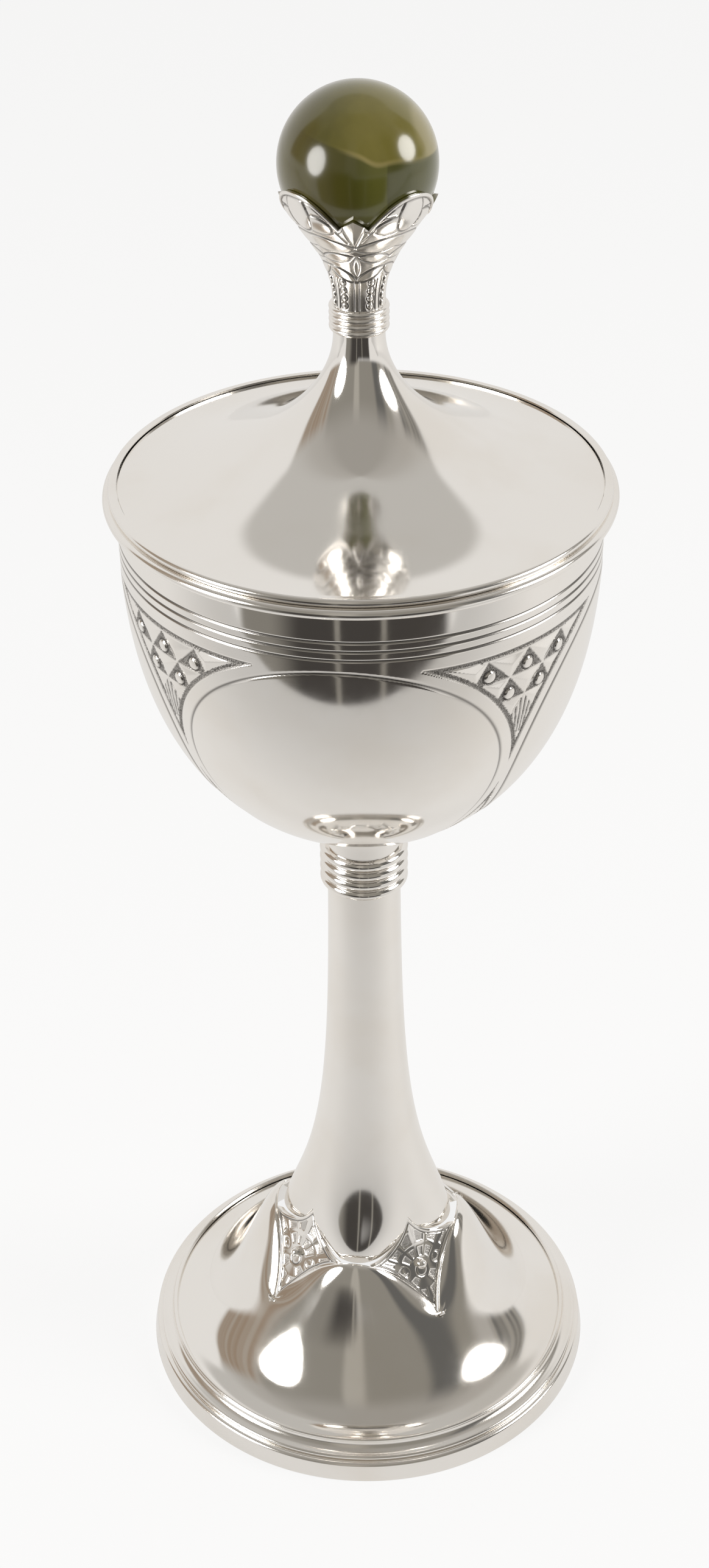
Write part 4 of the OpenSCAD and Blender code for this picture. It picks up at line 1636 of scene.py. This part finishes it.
    def calyx(self, shop: Workshop) -> None:
        """Lobed shell whose outside carries the chased work and whose inside follows the ball.

        Args:
            shop: makes the piece.
        """
        columns, rows, back = self.calyx_grid
        azimuth = circle(columns)
        q = lobe(azimuth)
        spine = self.spine()
        run = run_length(spine)
        end = np.interp(self.calyx_edge(q), spine[:, 1], run)
        v = np.linspace(0.0, 1.0, rows)[:, None] * end
        rz = np.stack([np.interp(v, run, spine[:, 0]), np.interp(v, run, spine[:, 1])], -1)
        fall = np.gradient(end) / (rz[-1, :, 0] * 2 * np.pi / columns)
        below = (end - v) / np.sqrt(1.0 + fall ** 2)
        work = self.calyx_work(np.broadcast_to(EIGHTH * q, v.shape), v, rz[..., 0], below)
        slope = unit(np.gradient(rz, axis=0))
        out = np.stack([slope[..., 1], -slope[..., 0]], -1)
        lift = work.total(self.line_depth) * ease(0.0, self.foot_fade, v)
        outside = rz + lift[..., None] * out
        inner = self.ball_r + self.ball_gap
        top = np.arcsin(np.clip((self.calyx_edge(q) - self.ball_z) / inner, -1.0, 1.0))
        a = mix(top, -np.arccos(self.bore / inner), np.linspace(0.0, 1.0, back)[:, None])
        inside = np.stack([inner * np.cos(a), self.ball_z + inner * np.sin(a)], -1)
        floor = np.broadcast_to([self.bore, self.calyx_z], (1, columns, 2))
        loops = turned(azimuth + self.turn, np.concatenate([outside, inside, floor]))
        pad = np.zeros((back + 1, columns))
        marks = {"line": np.concatenate([work.line, pad]),
                 "ground": np.concatenate([work.ground, pad]),
                 "satin": np.ones(loops.shape[:2])}
        shop.piece("chased_calyx", [Surface(loops, True, True, marks)], Body.LID, "calyx")

    def build(self, shop: Workshop) -> None:
        """Makes collar, calyx and ball.

        Args:
            shop: makes the pieces.
        """
        profile = joined((self.bore, self.foot),
                         reeds(self.collar_count, self.collar_h, self.collar_r, self.foot),
                         (self.bore, self.calyx_z), step=0.4)
        collar = lathe(profile, satin=COLLAR_SATIN)
        shop.piece("reeded_collar", [collar], Body.LID, "finial_collar")
        self.calyx(shop)
        sphere = arc((0.0, self.ball_z), self.ball_r, -90, 90, 128)
        sphere[[0, -1], 0] = 0.0
        shop.piece("stone_ball", [lathe(sphere, closed=False)], Body.LID, "ball", Slot.ONYX)


@dataclass(frozen=True)
class Softbox:
    """Oval lamp beside the goblet: azimuth from the camera's side, distance, height and size."""

    azimuth: float
    distance: float
    height: float
    wide: float
    tall: float
    glow: float = 8.0
    colour: Colour = (1.0, 0.985, 0.965)

    @property
    def power(self) -> float:
        """Power that gives the lamp's face its glow: glow times area times pi."""
        return self.glow * math.pi * math.pi * self.wide * self.tall / 4.0

    def place(self, front: float) -> tuple[float, float, float]:
        """Middle of the lamp, where front is the azimuth of the camera's side in degrees."""
        a = math.radians(self.azimuth + front)
        return self.distance * math.sin(a), -self.distance * math.cos(a), self.height


@dataclass
class Studio:
    """Pale table, white walls behind and beside, open room above and in front, two softboxes."""

    azimuth: float = 8.1
    distance: float = 0.5724
    height: float = 0.5904
    pitch: float = 34.07
    focal_px: float = 4171.0
    axis_px: float = 596.5
    roll: float = 0.65
    table_front: float = 0.36
    wall_middle: float = 2.0
    wall_side: float = 115.0
    wall_top: float = 51.5
    wall_round: float = 16.0
    aim_height: float = 0.2
    wall: Colour = (0.80, 0.785, 0.765)
    table: Colour = (0.80, 0.785, 0.765)
    open_room: Colour = (0.43, 0.41, 0.382)
    back_room: Colour = (0.52, 0.505, 0.48)
    high_room: Colour = (0.35, 0.333, 0.305)
    front_room: Colour = (0.265, 0.25, 0.22)
    light_post: Colour = (0.44, 0.415, 0.37)
    brown: Colour = (0.30, 0.23, 0.17)
    shade: Colour = (0.125, 0.122, 0.116)
    dark_room: Colour = (0.055, 0.050, 0.046)
    paint: Colour = (0.9, 0.9, 0.9)
    white: Colour = (1.0, 1.0, 1.0)
    # Share of the table's glow left at its front edge: painted shade
    painted_table_shade: float = 0.62
    table_glow: float = 0.82
    lamps: tuple[Softbox, ...] = (Softbox(-63.0, 1.83, 0.76, 0.95, 1.18),
                                  Softbox(82.0, 1.5, 0.89, 0.8, 0.8))

    def camera(self) -> None:
        """Camera of the photograph: on a circle round the axis, pitched down, rolled a little."""
        data = bpy.data.cameras.new("camera")
        data.sensor_fit = "VERTICAL"
        data.sensor_height = 36.0
        data.lens = data.sensor_height * self.focal_px / PHOTO_SIZE[1]
        data.clip_start = 0.01
        camera = bpy.data.objects.new("camera", data)
        yaw = math.atan((self.axis_px - PHOTO_SIZE[0] / 2) / self.focal_px
                        / math.cos(math.radians(self.pitch)))
        turn = Matrix.Rotation(math.radians(self.azimuth), 4, "Z")
        stand = Matrix.Translation((0.0, -self.distance, self.height))
        pan = Matrix.Rotation(yaw, 4, "Z")
        tilt = Matrix.Rotation(math.radians(90.0 - self.pitch), 4, "X")
        roll = Matrix.Rotation(-math.radians(self.roll), 4, "Z")
        camera.matrix_world = turn @ stand @ pan @ tilt @ roll
        bpy.context.scene.collection.objects.link(camera)
        bpy.context.scene.camera = camera

    def world(self) -> None:
        """Room as a function of direction: azimuth from the camera's side, and elevation.

        Camera rays see plain white. Other rays see walls behind and beside, an open room above
        and in front, and a dark opening over the table's front edge.
        """
        scene = bpy.context.scene
        scene.world = bpy.data.worlds.new("studio")
        scene.world.use_nodes = True
        g = Graph(scene.world.node_tree)
        spin = g.node("ShaderNodeMapping", {
            "Vector": g.place("Generated"), "Rotation": (0.0, 0.0, -math.radians(self.azimuth))})
        x, y, z = g.axes(spin)
        azimuth = x.math("ARCTAN2", y * -1.0) * math.degrees(1.0)
        height = z.math("MINIMUM", 1.0).math("MAXIMUM", -1.0)
        elevation = height.math("ARCSINE") * math.degrees(1.0)
        wide = abs(azimuth)

        def post(at: float, half: float, soft: float) -> Socket:
            """Upright strip of the room: 1 within half of an azimuth, with soft edges."""
            return abs(azimuth - at).ramp(half + soft, half)

        beside = abs(azimuth - self.wall_middle) - self.wall_side
        across = (self.wall_round - beside).math("MAXIMUM", 0.0)
        above = (elevation - self.wall_top + self.wall_round).math("MAXIMUM", 0.0)
        corner = (across * across + above * above).math("SQRT") - self.wall_round
        low = elevation.ramp(62.0, 36.0)
        stand = elevation.ramp(52.0, 38.0)
        streak = g.noise(g.node("ShaderNodeCombineXYZ", {0: azimuth}), 0.25, 1.0).ramp(0.4, 0.6)
        front = g.blend(post(56.0, 6.0, 9.0), self.front_room, self.shade)
        front = g.blend(post(-10.0, 5.0, 6.0) * 0.8, front, self.light_post)
        left = g.blend(streak * 0.55, self.brown, self.light_post)
        right = g.blend(streak * 0.7, self.shade, self.light_post)
        stripes = post(-11.5, 0.8, 0.8) + post(10.2, 0.8, 0.8)
        gap = g.blend(stripes + azimuth.ramp(-28.0, -45.0) * 0.8, self.dark_room, self.front_room)
        gap_top = elevation + azimuth.ramp(-12.0, -4.0) * 5.0
        opening = azimuth.ramp(-61.0, -56.0) * azimuth.ramp(43.0, 38.0) * gap_top.ramp(9.0, 0.0)
        tone = self.high_room
        for share, colour in (
                (wide.ramp(55.0, 100.0), self.open_room),
                (wide.ramp(95.0, 125.0), self.back_room),
                (low * wide.ramp(85.0, 75.0), front),
                (stand * azimuth.ramp(-75.0, -88.0), left),
                (stand * azimuth.ramp(92.0, 96.0), right),
                (corner.ramp(2.0, -2.0), self.wall),
                (elevation.ramp(3.0, -2.0), self.table),
                (opening, gap)):
            tone = g.blend(share, tone, colour)
        room, plain = (g.node("ShaderNodeBackground", {"Color": colour, "Strength": 1.0})
                       for colour in (tone, self.white))
        seen = g.node("ShaderNodeLightPath", output="Is Camera Ray")
        g.surface(g.node("ShaderNodeMixShader", {0: seen, 1: room, 2: plain}),
                  "ShaderNodeOutputWorld")

    def softboxes(self) -> None:
        """Oval area lamps, each aimed at the goblet's middle."""
        for number, box in enumerate(self.lamps, 1):
            data = bpy.data.lights.new(f"softbox_{number}", "AREA")
            data.shape, data.size, data.size_y = "ELLIPSE", box.wide, box.tall
            data.color = box.colour
            data.energy = box.power
            lamp = bpy.data.objects.new(f"softbox_{number}", data)
            place = Vector(box.place(self.azimuth))
            aim = (place - Vector((0.0, 0.0, self.aim_height))).to_track_quat("Z", "Y")
            lamp.matrix_world = Matrix.Translation(place) @ aim.to_matrix().to_4x4()
            lamp.visible_camera = False
            bpy.context.scene.collection.objects.link(lamp)

    def floor(self) -> None:
        """Table top, front edge before the object; white to the camera but for the shadow, to other
        rays a glow with painted shade towards its front edge.
        """
        wide, deep, front = 3.0, 4.0, -self.table_front
        corners = [(-wide, front, 0), (wide, front, 0), (wide, deep, 0), (-wide, deep, 0)]
        data = bpy.data.meshes.new("table")
        data.from_pydata(corners, [], [(0, 1, 2, 3)])
        table = bpy.data.objects.new("table", data)
        bpy.context.scene.collection.objects.link(table)
        material, g = new_material("table_white")
        y = g.axes(g.place())[1]
        # Painted shade: to rays other than the camera's the table glows in place of being lit,
        # darker towards its front edge
        painted_front_shade = tuple(self.painted_table_shade * c for c in self.table)
        glow = g.blend(y.ramp(front, 0.05), painted_front_shade, self.table)
        seen = g.node("ShaderNodeLightPath", output="Is Camera Ray")
        shine = g.node("ShaderNodeEmission", {
            "Color": g.blend(seen, glow, self.white), "Strength": 1.0})
        paint = g.node("ShaderNodeBsdfDiffuse", {"Color": self.paint})
        g.surface(g.node("ShaderNodeMixShader", {0: self.table_glow, 1: paint, 2: shine}))
        data.materials.append(material)

    def build(self) -> None:
        """Sets camera, room, lamps and table."""
        for make in (self.camera, self.world, self.softboxes, self.floor):
            make()
        bpy.context.scene.view_settings.view_transform = "Standard"


def main() -> None:
    """Builds the goblet's pieces from the foot up, then the studio round them."""
    logging.basicConfig(level=logging.INFO, format="%(message)s")
    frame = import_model()
    knop = Knop()
    bowl = Bowl(knop.seat)
    lid = Lid(bowl.mouth)
    finial = Finial(lid.top)
    shop = Workshop(frame["nodes"], {
        Slot.SILVER: SilverFinish().material(),
        Slot.ONYX: OnyxFinish(finial.ball_z, finial.ball_r).material(),
        Slot.BRASS: BrassFinish().material(),
    })
    form = Trumpet()
    for part in (Foot(form), Stem(form), knop, bowl, lid, finial):
        part.build(shop)
    shop.dress(("tie_plate", "tie_washer", "tie_nut", "tie_rod",
                "finial_rod", "finial_washer", "finial_nut"), Slot.BRASS)
    shop.dress(("bowl_socket",), Slot.SILVER)
    Studio().build()


if __name__ == "__main__":
    main()
